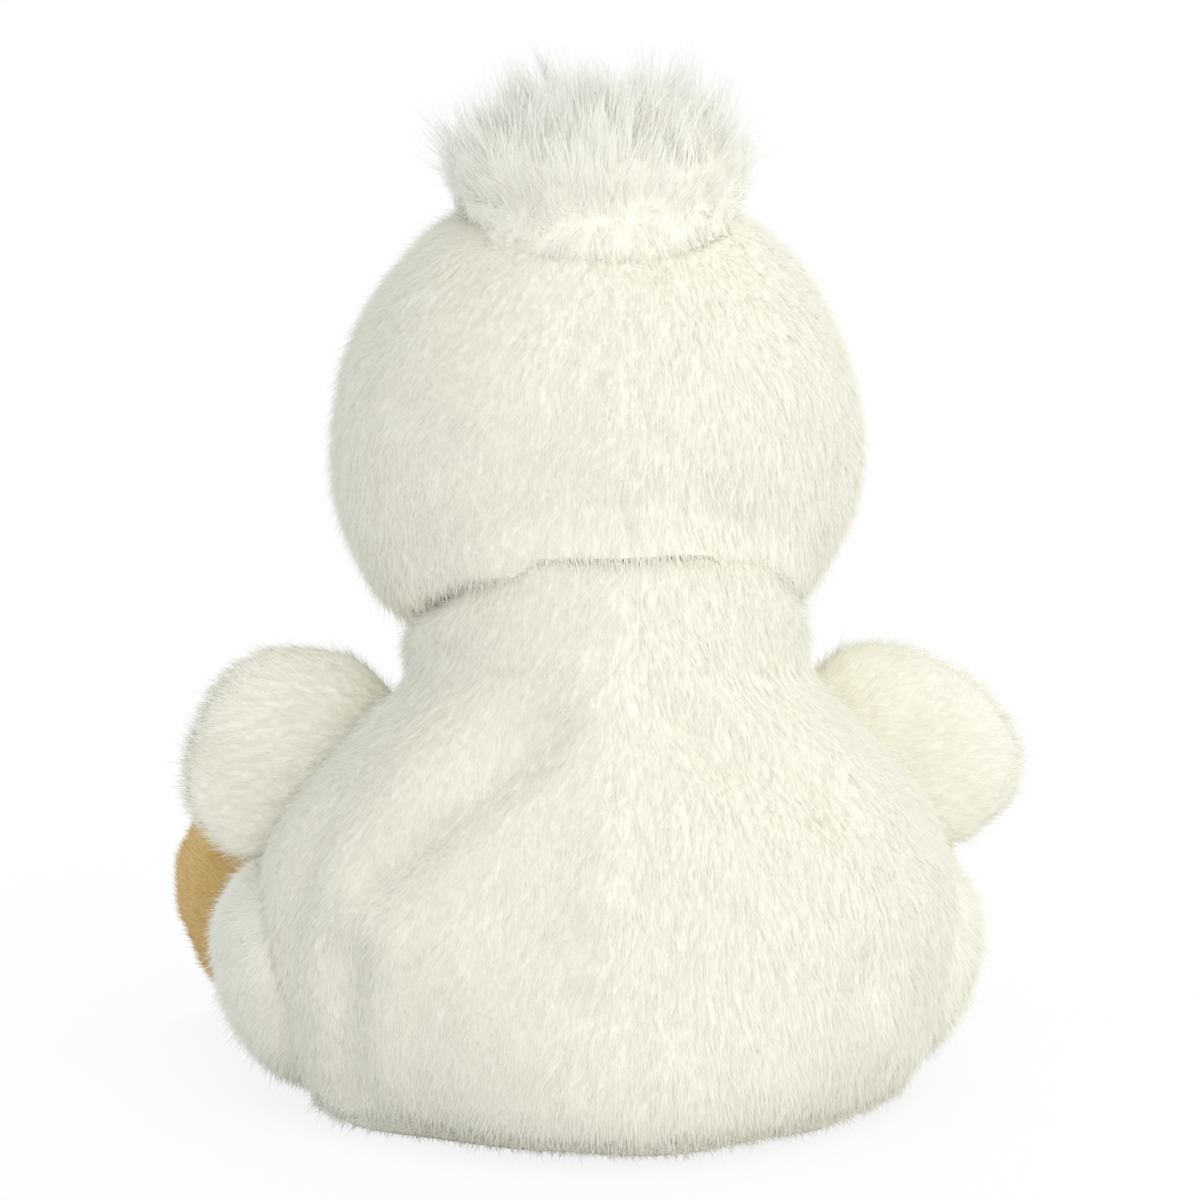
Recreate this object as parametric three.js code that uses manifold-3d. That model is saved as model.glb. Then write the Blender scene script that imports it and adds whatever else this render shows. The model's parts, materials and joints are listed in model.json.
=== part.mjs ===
// Palm-size plush pelican: a bean-weighted sitting bird sewn from pile fabric.
// Millimetres, +Z up. The bird faces -Y and its left side is +X.
// The origin is the middle of the flat base it sits on.
import * as THREE from "three";
import { mergeVertices } from "three/addons/utils/BufferGeometryUtils.js";
import Module from "manifold-3d";

const wasm = await Module();
wasm.setup();

// Fabric, thread and clearances
const PLUSH = 1.5; // plush fabric with its pile pressed flat
const POUCH_CLOTH = 0.7; // plain cloth of the inner pouch
const GAP = 0.3; // clearance between pieces that are sewn or packed together

// Body: half width, reach to the back and reach to the front at five heights
const BASE_HALF = 30;
const BASE_BACK = 29;
const BASE_FRONT = 23;
const CURB_HEIGHT = 5;
const CURB_HALF = 36.5;
const CURB_BACK = 36;
const CURB_FRONT = 27;
const HIP_HEIGHT = 17;
const HIP_HALF = 40.5;
const HIP_BACK = 37.5;
const HIP_FRONT = 30;
const FLANK_HEIGHT = 29;
const FLANK_HALF = 40.3;
const FLANK_BACK = 34;
const FLANK_FRONT = 28.5;
const SHOULDER_HEIGHT = 39.5;
const SHOULDER_HALF = 33.2;
const SHOULDER_BACK = 28.5;
const SHOULDER_FRONT = 24;
const FLANK_LEAN = 2; // degrees that the flank leans forward
const SHOULDER_LEAN = 9; // degrees that the shoulder leans forward
const BODY_SET = 4; // the body sits this far behind the middle of the base
const RUMP_REACH = 3.5; // blunt tail point low on the back
const RUMP_HEIGHT = 6;
const RUMP_TALL = 6; // how far the point fades upwards and downwards
const RUMP_WIDE = 24; // degrees over which it fades to the sides
const SIDE_SEAM = -2; // where the belly panel meets the back panels

// Neck: a ball of stuffing that the head sits on, leaning forward
const NECK_RADIUS = 23.5;
const NECK_HEIGHT = 45.4;
const NECK_BACK = 4.2;
const NECK_LEAN = 20; // degrees
const NECK_RING_RISE = 2.6; // where the shoulders leave the neck ball, above its middle
const NECK_SEAM_ANGLE = 68.5; // degrees from the neck axis to the closing thread
const NECK_TURN_IN = 4; // degrees of body fabric turned in past the thread
const THREAD_RADIUS = 0.5;

// Head
const HEAD_HALF = 31.3;
const HEAD_DEPTH = 29.5; // half of the depth
const HEAD_UP = 33;
const HEAD_DOWN = 30;
const HEAD_RISE = 31; // from the middle of the neck ball, along the neck axis

// Crest: a patch of long pile sewn into the crown
const CREST_RADIUS = 15;
const CREST_FLARE = 19.5;
const CREST_HEIGHT = 11.5; // pile above the crown
const CREST_RISE = 4.5; // widest part of the pile above its sewn edge
const CREST_STEM = 0.6; // upright part of the pile above its sewn edge
const CREST_DEPTH = 8; // root of the patch below its sewn edge
const CREST_SET = 2; // behind the middle of the head

// Eyes
const EYE_RADIUS = 3.8;
const EYE_DOME = 2.8;
const EYE_RIM = 0.6; // upright edge under the dome
const EYE_SHANK_RADIUS = 1.5;
const EYE_SHANK_LENGTH = 9;
const EYE_TURN = 40; // degrees from straight ahead
const EYE_LIFT = 14; // degrees above the middle of the head
const WASHER_RADIUS = 5;
const WASHER_THICKNESS = 1.6;
const EYE_CLEAR = 6; // holes for the fittings reach this far past the fabric

// Bill
const BILL_LENGTH = 30.5; // from its root to its tip
const BILL_ROOT_RADIUS = 8;
const BILL_HALF = 10.5; // half width at the root, a third, two thirds and the tip
const BILL_WIDE = 10.9;
const BILL_NARROW = 8;
const BILL_TIP = 4.6;
const BILL_RIDGE = 6.6; // height of the upper bill above the mouth line
const BILL_RIDGE_LOW = 5.4;
const BILL_TIP_UP = 3.8;
const BILL_POUCH = 11.5; // drop of the pouch below the mouth line
const BILL_POUCH_LOW = 8;
const BILL_TIP_DOWN = 3.6;
const BILL_NOSE = 2.6; // rounded end of the tip
const BILL_NOSE_SHARE = 0.6; // its size as a share of the tip
const BILL_DROOP = 26; // degrees below level
const BILL_SINK = 5; // how far its round root sits in the face
const BILL_DROP = 6; // its root below the middle of the head

// Wings: padded half-oval flaps, sewn along a line that slopes down the flank
const WING_LENGTH = 29; // along its root line
const WING_REACH = 15.6; // from its root line to its outer edge
const WING_THICKNESS = 10;
const WING_ROOT_X = 32.9; // middle of its root line
const WING_ROOT_Y = -4;
const WING_ROOT_Z = 37;
const WING_SLANT = 45; // degrees that its root line leans inwards
const WING_ROOT_ROUND = 0.6; // under 1 makes the sewn side squarer than an oval

// Legs
const THIGH_RADIUS = 15.4;
const THIGH_X = 30;
const THIGH_Y = 3;
const THIGH_Z = 16.6;
const ANKLE_RADIUS = 9.5;
const ANKLE_X = 34.4;
const ANKLE_Y = -28;
const ANKLE_Z = 13.5;

// Feet: upright padded webs with three toes that point outwards
const FOOT_HALF = 14;
const FOOT_UP = 15.2; // from the middle of the foot to the toes
const FOOT_DOWN = 14.6; // from the middle of the foot to the heel
const FOOT_RISE = 4.6; // middle of the foot above the ankle
const FOOT_THICKNESS = 10;
const FOOT_SPLAY = 40; // degrees
const TOE_NOTCH = 1.7; // depth of the notch between two toes
const TOE_ANGLE = 60; // degrees between two toes
const TOE_SPREAD = 0.2; // more of this carries the notches further round the foot

// Inner pouch of plastic pellets
const POUCH_HALF = 28;
const POUCH_DEPTH = 24;
const POUCH_HEIGHT = 17;
const POUCH_MOUTH = 3; // radius of the filling hole, sewn shut by hand
const POUCH_EDGE = 4; // its flat bottom stops this far inside its side
const POUCH_ROUND = 2; // height of the round above the flat bottom
const POUCH_ROUND_SHARE = 0.97; // width there as a share of the widest part
const POUCH_SIDE = 5; // start of the dome above the bottom
const POUCH_SET = 2; // behind the middle of the body

// Facets
const BODY_SIDES = 24;
const SEAT_SIDES = 36; // hollow seats are finer than the balls that turn in them
const PILLOW_TURN = 84; // degrees of round on each face of a pillow
const FAR = 200; // reach of the cutting blocks, past the whole toy

const rad = THREE.MathUtils.degToRad;

function solid(geometry) {
  const plain = geometry.clone();
  plain.deleteAttribute("normal");
  plain.deleteAttribute("uv");
  const merged = mergeVertices(plain, 1e-5);
  const mesh = new wasm.Mesh({
    numProp: 3,
    vertProperties: new Float32Array(merged.attributes.position.array),
    triVerts: new Uint32Array(merged.index.array),
  });
  return new wasm.Manifold(mesh);
}

function geometryOf(manifold) {
  const mesh = manifold.getMesh();
  const geometry = new THREE.BufferGeometry();
  geometry.setAttribute("position", new THREE.BufferAttribute(mesh.vertProperties.slice(), 3));
  geometry.setIndex(new THREE.BufferAttribute(mesh.triVerts.slice(), 1));
  geometry.computeVertexNormals();
  return geometry;
}

// A closed skin through rings of points, with a flat or pointed end at both ends.
function loft(rings) {
  const count = rings[0].length;
  const points = rings.flat();
  const first = new THREE.Vector3();
  const last = new THREE.Vector3();
  rings[0].forEach((point) => first.addScaledVector(point, 1 / count));
  rings[rings.length - 1].forEach((point) => last.addScaledVector(point, 1 / count));
  const bottom = points.length;
  const top = bottom + 1;
  const faces = [];
  for (let side = 0; side < count; side += 1) {
    const next = (side + 1) % count;
    faces.push(bottom, next, side);
    for (let ring = 0; ring < rings.length - 1; ring += 1) {
      const here = ring * count;
      const above = here + count;
      faces.push(here + side, here + next, above + next);
      faces.push(here + side, above + next, above + side);
    }
    const end = (rings.length - 1) * count;
    faces.push(end + side, end + next, top);
  }
  const geometry = new THREE.BufferGeometry();
  geometry.setFromPoints([...points, first, last]);
  geometry.setIndex(faces);
  return geometry;
}

// Values read smoothly along a list of stations.
function along(values, steps) {
  const curve = new THREE.SplineCurve(values.map((value, index) => new THREE.Vector2(index, value)));
  return curve.getPoints(steps).map((point) => point.y);
}

function ball(radius, x, y, z, across = BODY_SIDES) {
  const geometry = new THREE.SphereGeometry(radius, across, across / 2);
  geometry.rotateX(Math.PI / 2);
  geometry.translate(x, y, z);
  return solid(geometry);
}

// Everything between two positions along one axis.
function slab(axis, low, high) {
  const size = { x: 2 * FAR, y: 2 * FAR, z: 2 * FAR, [axis]: high - low };
  const middle = { x: 0, y: 0, z: 0, [axis]: (low + high) / 2 };
  const geometry = new THREE.BoxGeometry(size.x, size.y, size.z);
  geometry.translate(middle.x, middle.y, middle.z);
  return solid(geometry);
}

const neckAxis = new THREE.Vector3(0, -Math.sin(rad(NECK_LEAN)), Math.cos(rad(NECK_LEAN)));
const neckMiddle = new THREE.Vector3(0, NECK_BACK, NECK_HEIGHT);
const headMiddle = neckMiddle.clone().addScaledVector(neckAxis, HEAD_RISE);

// Body form, drawn in by a depth for the layers inside the fabric.
function bodyForm(inset) {
  const steps = 10;
  const neckRing = neckMiddle.clone().addScaledVector(neckAxis, NECK_RING_RISE);
  const neckReach = Math.sqrt(NECK_RADIUS ** 2 - NECK_RING_RISE ** 2) - GAP;
  const height = along([0, CURB_HEIGHT, HIP_HEIGHT, FLANK_HEIGHT, SHOULDER_HEIGHT, neckRing.z], steps);
  const middle = along([BODY_SET, BODY_SET, BODY_SET, BODY_SET, BODY_SET, neckRing.y], steps);
  const half = along([BASE_HALF, CURB_HALF, HIP_HALF, FLANK_HALF, SHOULDER_HALF, neckReach], steps);
  const back = along([BASE_BACK, CURB_BACK, HIP_BACK, FLANK_BACK, SHOULDER_BACK, neckReach], steps);
  const front = along([BASE_FRONT, CURB_FRONT, HIP_FRONT, FLANK_FRONT, SHOULDER_FRONT, neckReach], steps);
  const lean = along([0, 0, 0, FLANK_LEAN, SHOULDER_LEAN, NECK_LEAN], steps);
  const rings = height.map((z, ring) => {
    const points = [];
    for (let side = 0; side < BODY_SIDES; side += 1) {
      const angle = (2 * Math.PI * side) / BODY_SIDES;
      const reach = Math.sin(angle) > 0 ? back[ring] : front[ring];
      const level = (z - RUMP_HEIGHT) / RUMP_TALL;
      const aside = (angle - Math.PI / 2) / rad(RUMP_WIDE);
      const rump = RUMP_REACH * Math.exp(-level * level - aside * aside);
      const x = (half[ring] - inset) * Math.cos(angle);
      const y = (reach + rump - inset) * Math.sin(angle);
      const rise = y * Math.sin(rad(lean[ring]));
      const floor = Math.max(z + rise, inset);
      points.push(new THREE.Vector3(x, middle[ring] + y * Math.cos(rad(lean[ring])), floor));
    }
    return points;
  });
  const neck = ball(NECK_RADIUS - inset, 0, NECK_BACK, NECK_HEIGHT);
  return solid(loft(rings)).add(neck);
}

// Head form, a ball that is taller above its middle than below it.
function headForm(inset) {
  const geometry = new THREE.SphereGeometry(1, BODY_SIDES, 14);
  geometry.rotateX(Math.PI / 2);
  const place = geometry.attributes.position;
  for (let index = 0; index < place.count; index += 1) {
    const z = place.getZ(index);
    place.setX(index, place.getX(index) * (HEAD_HALF - inset));
    place.setY(index, place.getY(index) * (HEAD_DEPTH - inset) + headMiddle.y);
    place.setZ(index, z * ((z > 0 ? HEAD_UP : HEAD_DOWN) - inset) + headMiddle.z);
  }
  return solid(geometry);
}

// Half space above the plane across the neck axis at a distance from the neck's middle.
function aboveNeck(distance) {
  const geometry = new THREE.CylinderGeometry(FAR, FAR, FAR, BODY_SIDES);
  geometry.translate(0, FAR / 2 + distance, 0);
  geometry.rotateX(Math.PI / 2 + rad(NECK_LEAN));
  geometry.translate(neckMiddle.x, neckMiddle.y, neckMiddle.z);
  return solid(geometry);
}

const bodyGroup = new THREE.Group();
const headGroup = new THREE.Group();
const group = new THREE.Group();
group.name = "plush_pelican";
group.add(bodyGroup, headGroup);

const colours = {
  plush: 0xf4f1de,
  stuffing: 0xf2f2ee,
  cloth: 0xe6e0d2,
  pellets: 0xd9d9d6,
  thread: 0xefe9d6,
  orange: 0xd09a45,
  pouch: 0xdcb56a,
  eye: 0x141414,
  washer: 0xe8e8e4,
};

function piece(parent, name, form, colour) {
  const shape = form instanceof THREE.BufferGeometry ? form : geometryOf(form);
  const material = new THREE.MeshStandardMaterial({ color: colours[colour], roughness: 0.9 });
  const mesh = new THREE.Mesh(shape, material);
  mesh.name = name;
  parent.add(mesh);
  return mesh;
}

// Inner pouch and its pellets: a flat-bottomed bag under the stuffing.
function pouchForm(inset) {
  const bottom = PLUSH + GAP + inset;
  const crown = bottom + POUCH_HEIGHT - 2 * inset;
  const dome = bottom + POUCH_SIDE;
  const profile = [
    new THREE.Vector2(0, bottom),
    new THREE.Vector2(1 - POUCH_EDGE / POUCH_HALF, bottom),
    new THREE.Vector2(POUCH_ROUND_SHARE, bottom + POUCH_ROUND),
  ];
  const steps = 5;
  const first = Math.PI / 2 / steps;
  for (let step = 1; step <= steps; step += 1) {
    const reach = step === steps ? 0 : Math.cos((step - 1) * first);
    profile.push(new THREE.Vector2(reach, dome + (crown - dome) * Math.sin(step * first)));
  }
  const geometry = new THREE.LatheGeometry(profile, 20);
  geometry.rotateX(Math.PI / 2);
  geometry.scale(POUCH_HALF - inset, POUCH_DEPTH - inset, 1);
  geometry.translate(0, BODY_SET + POUCH_SET, 0);
  return solid(geometry);
}

const mouth = new THREE.CylinderGeometry(POUCH_MOUTH, POUCH_MOUTH, POUCH_HEIGHT, 12);
mouth.rotateX(Math.PI / 2);
mouth.translate(0, BODY_SET + POUCH_SET, PLUSH + GAP + POUCH_HEIGHT);
const pouchShell = pouchForm(0).subtract(pouchForm(POUCH_CLOTH)).subtract(solid(mouth));
piece(bodyGroup, "bean_pouch", pouchShell, "cloth");
piece(bodyGroup, "bean_charge", pouchForm(POUCH_CLOTH + GAP), "pellets");

// Body skin: back panels meet on the spine, the belly panel closes the front.
const bodyOuter = bodyForm(0);
const neckPlane = NECK_RADIUS * Math.cos(rad(NECK_SEAM_ANGLE - NECK_TURN_IN));
const bodyShell = bodyOuter.subtract(bodyForm(PLUSH)).subtract(aboveNeck(neckPlane));
const walls = bodyShell.intersect(slab("z", PLUSH + GAP, FAR));
const backWall = walls.intersect(slab("y", SIDE_SEAM + GAP / 2, FAR));
piece(bodyGroup, "back_panel_left", backWall.intersect(slab("x", GAP / 2, FAR)), "plush");
piece(bodyGroup, "back_panel_right", backWall.intersect(slab("x", -FAR, -GAP / 2)), "plush");
piece(bodyGroup, "belly_panel", walls.intersect(slab("y", -FAR, SIDE_SEAM - GAP / 2)), "plush");
piece(bodyGroup, "base_panel", bodyOuter.intersect(slab("z", -FAR, PLUSH)), "plush");

// Body stuffing: it fills the skin round the pouch and stands out of the neck as a ball.
const neckBall = ball(NECK_RADIUS, 0, NECK_BACK, NECK_HEIGHT).intersect(aboveNeck(neckPlane + GAP));
const bodyStuffing = bodyForm(PLUSH + GAP).add(neckBall).subtract(pouchForm(-GAP));
piece(bodyGroup, "body_stuffing", bodyStuffing, "stuffing");

// Neck thread: the ring of ladder stitch in the crease under the head.
const seamReach = NECK_RADIUS + GAP + THREAD_RADIUS;
const thread = new THREE.TorusGeometry(seamReach * Math.sin(rad(NECK_SEAM_ANGLE)), THREAD_RADIUS, 5, 30);
thread.translate(0, 0, seamReach * Math.cos(rad(NECK_SEAM_ANGLE)));
thread.rotateX(rad(NECK_LEAN));
thread.translate(neckMiddle.x, neckMiddle.y, neckMiddle.z);
piece(group, "neck_thread", solid(thread), "thread");

// Crest outline, from its sewn edge over the flared pile to its blunt top.
const crownEdge = headMiddle.z + HEAD_UP * Math.sqrt(1 - (CREST_RADIUS / HEAD_HALF) ** 2);
const crestTop = headMiddle.z + HEAD_UP + CREST_HEIGHT;
const crestProfile = [
  new THREE.Vector2(0, crownEdge - CREST_DEPTH),
  new THREE.Vector2(CREST_RADIUS, crownEdge - CREST_DEPTH),
  new THREE.Vector2(CREST_RADIUS, crownEdge + CREST_STEM),
];
const crestSteps = 4;
for (let step = 0; step <= crestSteps; step += 1) {
  const turn = (step / crestSteps) * (Math.PI / 2);
  const reach = step === crestSteps ? 0 : CREST_FLARE * Math.cos(turn);
  const waist = crownEdge + CREST_RISE;
  crestProfile.push(new THREE.Vector2(reach, waist + (crestTop - waist) * Math.sin(turn)));
}
const crestLathe = new THREE.LatheGeometry(crestProfile, BODY_SIDES);
crestLathe.rotateX(Math.PI / 2);
crestLathe.translate(0, headMiddle.y + CREST_SET, 0);
const crestClear = CREST_RADIUS + GAP;
const crestHole = new THREE.CylinderGeometry(crestClear, crestClear, 2 * HEAD_UP, BODY_SIDES);
crestHole.rotateX(Math.PI / 2);
crestHole.translate(0, headMiddle.y + CREST_SET, crownEdge + HEAD_UP - CREST_DEPTH);

// Seat for the bill's root, which is round about the line that the bill swings on.
const billRoot = new THREE.Vector3();
const faceReach = HEAD_DEPTH * Math.sqrt(1 - (BILL_DROP / HEAD_DOWN) ** 2);
billRoot.set(0, headMiddle.y - faceReach - BILL_ROOT_RADIUS + BILL_SINK, headMiddle.z - BILL_DROP);

const billClear = BILL_ROOT_RADIUS + GAP;
const seat = new THREE.SphereGeometry(1, SEAT_SIDES, SEAT_SIDES / 2);
seat.rotateZ(Math.PI / 2);
seat.scale(BILL_HALF + GAP, billClear, billClear);
seat.translate(billRoot.x, billRoot.y, billRoot.z);
const billSeat = solid(seat);

// Eye fittings on the left; the right side is their mirror image.
const eyeWay = new THREE.Vector3();
eyeWay.set(Math.sin(rad(EYE_TURN)), -Math.cos(rad(EYE_TURN)), Math.tan(rad(EYE_LIFT))).normalize();
const eyeReach = 1 / Math.hypot(eyeWay.x / HEAD_HALF, eyeWay.y / HEAD_DEPTH, eyeWay.z / HEAD_UP);
const eyePlace = headMiddle.clone().addScaledVector(eyeWay, eyeReach);
const eyeNormal = new THREE.Vector3();
eyeNormal.set(eyeWay.x / HEAD_HALF ** 2, eyeWay.y / HEAD_DEPTH ** 2, eyeWay.z / HEAD_UP ** 2).normalize();
const eyeTurn = new THREE.Quaternion().setFromUnitVectors(new THREE.Vector3(0, 1, 0), eyeNormal);

function onEye(geometry) {
  geometry.applyQuaternion(eyeTurn);
  geometry.translate(eyePlace.x, eyePlace.y, eyePlace.z);
  return solid(geometry);
}

function eyeTube(radius, low, high) {
  const geometry = new THREE.CylinderGeometry(radius, radius, high - low, 14);
  geometry.translate(0, (low + high) / 2, 0);
  return onEye(geometry);
}

function mirrored(manifold) {
  return manifold.mirror([1, 0, 0]);
}

const eyeProfile = [
  new THREE.Vector2(0, -EYE_SHANK_LENGTH),
  new THREE.Vector2(EYE_SHANK_RADIUS, -EYE_SHANK_LENGTH),
  new THREE.Vector2(EYE_SHANK_RADIUS, GAP),
  new THREE.Vector2(EYE_RADIUS, GAP),
];
const eyeSteps = 4;
for (let step = 0; step <= eyeSteps; step += 1) {
  const turn = (step / eyeSteps) * (Math.PI / 2);
  const reach = step === eyeSteps ? 0 : EYE_RADIUS * Math.cos(turn);
  eyeProfile.push(new THREE.Vector2(reach, GAP + EYE_RIM + (EYE_DOME - EYE_RIM) * Math.sin(turn)));
}
const eye = onEye(new THREE.LatheGeometry(eyeProfile, 14));
const shankHole = eyeTube(EYE_SHANK_RADIUS + GAP, -EYE_SHANK_LENGTH - GAP, EYE_CLEAR);
const washerLow = -PLUSH - 3 * GAP - WASHER_THICKNESS;
const washer = eyeTube(WASHER_RADIUS, washerLow, washerLow + WASHER_THICKNESS).subtract(shankHole);
const washerHole = eyeTube(WASHER_RADIUS + GAP, washerLow - GAP, EYE_CLEAR).add(shankHole);
piece(headGroup, "eye_left", eye, "eye");
piece(headGroup, "eye_right", mirrored(eye), "eye");
piece(headGroup, "eye_washer_left", washer, "washer");
piece(headGroup, "eye_washer_right", mirrored(washer), "washer");

// Head skin: two side panels that meet on the middle line, round the crest and the bill.
const neckSeat = ball(NECK_RADIUS + GAP, 0, NECK_BACK, NECK_HEIGHT, SEAT_SIDES);
const headInner = headForm(PLUSH);
const headShell = headForm(0)
  .subtract(headInner)
  .subtract(neckSeat)
  .subtract(solid(crestHole))
  .subtract(billSeat)
  .subtract(shankHole)
  .subtract(mirrored(shankHole));
piece(headGroup, "head_panel_left", headShell.intersect(slab("x", GAP / 2, FAR)), "plush");
piece(headGroup, "head_panel_right", headShell.intersect(slab("x", -FAR, -GAP / 2)), "plush");
piece(headGroup, "crest_patch", solid(crestLathe).subtract(headInner), "plush");
const headStuffing = headForm(PLUSH + GAP)
  .subtract(neckSeat)
  .subtract(billSeat)
  .subtract(washerHole)
  .subtract(mirrored(washerHole));
piece(headGroup, "head_stuffing", headStuffing, "stuffing");

// Bill: upper and lower panels sewn round one stuffing, drawn level and then drooped.
function billForm(inset) {
  const radius = BILL_ROOT_RADIUS - inset;
  const rings = [];
  const sides = 16;
  const ring = (reach, half, up, down) => {
    const points = [];
    for (let side = 0; side < sides; side += 1) {
      const angle = (2 * Math.PI * side) / sides;
      const rise = Math.sin(angle) > 0 ? up : down;
      points.push(new THREE.Vector3(half * Math.cos(angle), -reach, rise * Math.sin(angle)));
    }
    rings.push(points);
  };
  for (const turn of [-78, -58, -37, -17]) {
    const size = Math.cos(rad(turn));
    ring(radius * Math.sin(rad(turn)), (BILL_HALF - inset) * size, radius * size, radius * size);
  }
  const steps = 6;
  const half = along([BILL_HALF, BILL_WIDE, BILL_NARROW, BILL_TIP], steps);
  const up = along([BILL_ROOT_RADIUS, BILL_RIDGE, BILL_RIDGE_LOW, BILL_TIP_UP], steps);
  const down = along([BILL_ROOT_RADIUS, BILL_POUCH, BILL_POUCH_LOW, BILL_TIP_DOWN], steps);
  half.forEach((width, step) => {
    const reach = (step / steps) * (BILL_LENGTH - BILL_NOSE);
    ring(reach, width - inset, up[step] - inset, down[step] - inset);
  });
  const nose = [BILL_TIP, BILL_TIP_UP, BILL_TIP_DOWN].map((size) => (size - inset) * BILL_NOSE_SHARE);
  ring(BILL_LENGTH - inset, ...nose);
  return solid(loft(rings));
}

const billGroup = new THREE.Group();
billGroup.position.copy(billRoot);
billGroup.rotation.x = rad(BILL_DROOP);
group.add(billGroup);
const billShell = billForm(0).subtract(billForm(PLUSH));
piece(billGroup, "bill_upper", billShell.intersect(slab("z", GAP / 2, FAR)), "orange");
piece(billGroup, "bill_pouch", billShell.intersect(slab("z", -FAR, -GAP / 2)), "pouch");
piece(billGroup, "bill_stuffing", billForm(PLUSH + GAP), "stuffing");

// A pillow inside a flat outline, thickest in the middle and round at its edge.
function pillow(outline, thickness, inset) {
  const layers = 3;
  const rings = [];
  for (let layer = -layers; layer <= layers; layer += 1) {
    const turn = (layer / layers) * rad(PILLOW_TURN);
    const height = (thickness / 2 - inset) * Math.sin(turn);
    const ring = outline.map((point) => {
      const share = (1 - inset / point.length()) * Math.cos(turn);
      return new THREE.Vector3(point.x * share, point.y * share, height);
    });
    rings.push(ring);
  }
  return solid(loft(rings));
}

// Wing outline about the line it swings on: x runs outwards, y along the root.
function wingOutline() {
  const points = [];
  const count = 18;
  const rootReach = WING_THICKNESS / 2;
  for (let side = 0; side < count; side += 1) {
    const angle = (2 * Math.PI * side) / count;
    const outward = Math.cos(angle);
    const reach = outward > 0 ? WING_REACH - rootReach : rootReach;
    const power = outward > 0 ? 1 : WING_ROOT_ROUND;
    const share = Math.sign(Math.sin(angle)) * Math.abs(Math.sin(angle)) ** power;
    points.push(new THREE.Vector2(reach * outward, (WING_LENGTH / 2) * share));
  }
  return points;
}

// Foot outline about its middle: toe lobes fan out from a round heel.
function footOutline() {
  const points = [];
  const count = 24;
  for (let side = 0; side < count; side += 1) {
    const angle = (2 * Math.PI * side) / count;
    const fromToe = angle - Math.PI / 2 + rad(FOOT_SPLAY);
    const toes = Math.max(0, Math.cos(fromToe) + TOE_SPREAD) / (1 + TOE_SPREAD);
    const wave = 0.5 - 0.5 * Math.cos((2 * Math.PI * fromToe) / rad(TOE_ANGLE));
    const reach = 1 - (TOE_NOTCH * Math.sqrt(toes) * wave) / FOOT_UP;
    const rise = Math.sin(angle) > 0 ? FOOT_UP : FOOT_DOWN;
    const point = new THREE.Vector2(FOOT_HALF * Math.cos(angle), rise * Math.sin(angle));
    points.push(point.multiplyScalar(reach));
  }
  return points;
}

function legForm(inset) {
  const hip = new THREE.Vector3(THIGH_X, THIGH_Y, THIGH_Z);
  const ankle = new THREE.Vector3(ANKLE_X, ANKLE_Y, ANKLE_Z);
  const length = hip.distanceTo(ankle);
  const slope = Math.asin((THIGH_RADIUS - ANKLE_RADIUS) / length);
  const profile = [];
  const steps = 5;
  for (let step = 0; step <= steps; step += 1) {
    const turn = -Math.PI / 2 + (step / steps) * (Math.PI / 2 + slope);
    const reach = step === 0 ? 0 : (THIGH_RADIUS - inset) * Math.cos(turn);
    profile.push(new THREE.Vector2(reach, (THIGH_RADIUS - inset) * Math.sin(turn)));
  }
  for (let step = 0; step <= steps; step += 1) {
    const turn = slope + (step / steps) * (Math.PI / 2 - slope);
    const reach = step === steps ? 0 : (ANKLE_RADIUS - inset) * Math.cos(turn);
    profile.push(new THREE.Vector2(reach, length + (ANKLE_RADIUS - inset) * Math.sin(turn)));
  }
  const geometry = new THREE.LatheGeometry(profile, 18);
  const way = ankle.clone().sub(hip).normalize();
  geometry.applyQuaternion(new THREE.Quaternion().setFromUnitVectors(new THREE.Vector3(0, 1, 0), way));
  geometry.translate(hip.x, hip.y, hip.z);
  return solid(geometry);
}

// The limbs of one side; the right side is the mirror image of the left.
const bodyClear = bodyForm(-GAP);

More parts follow.
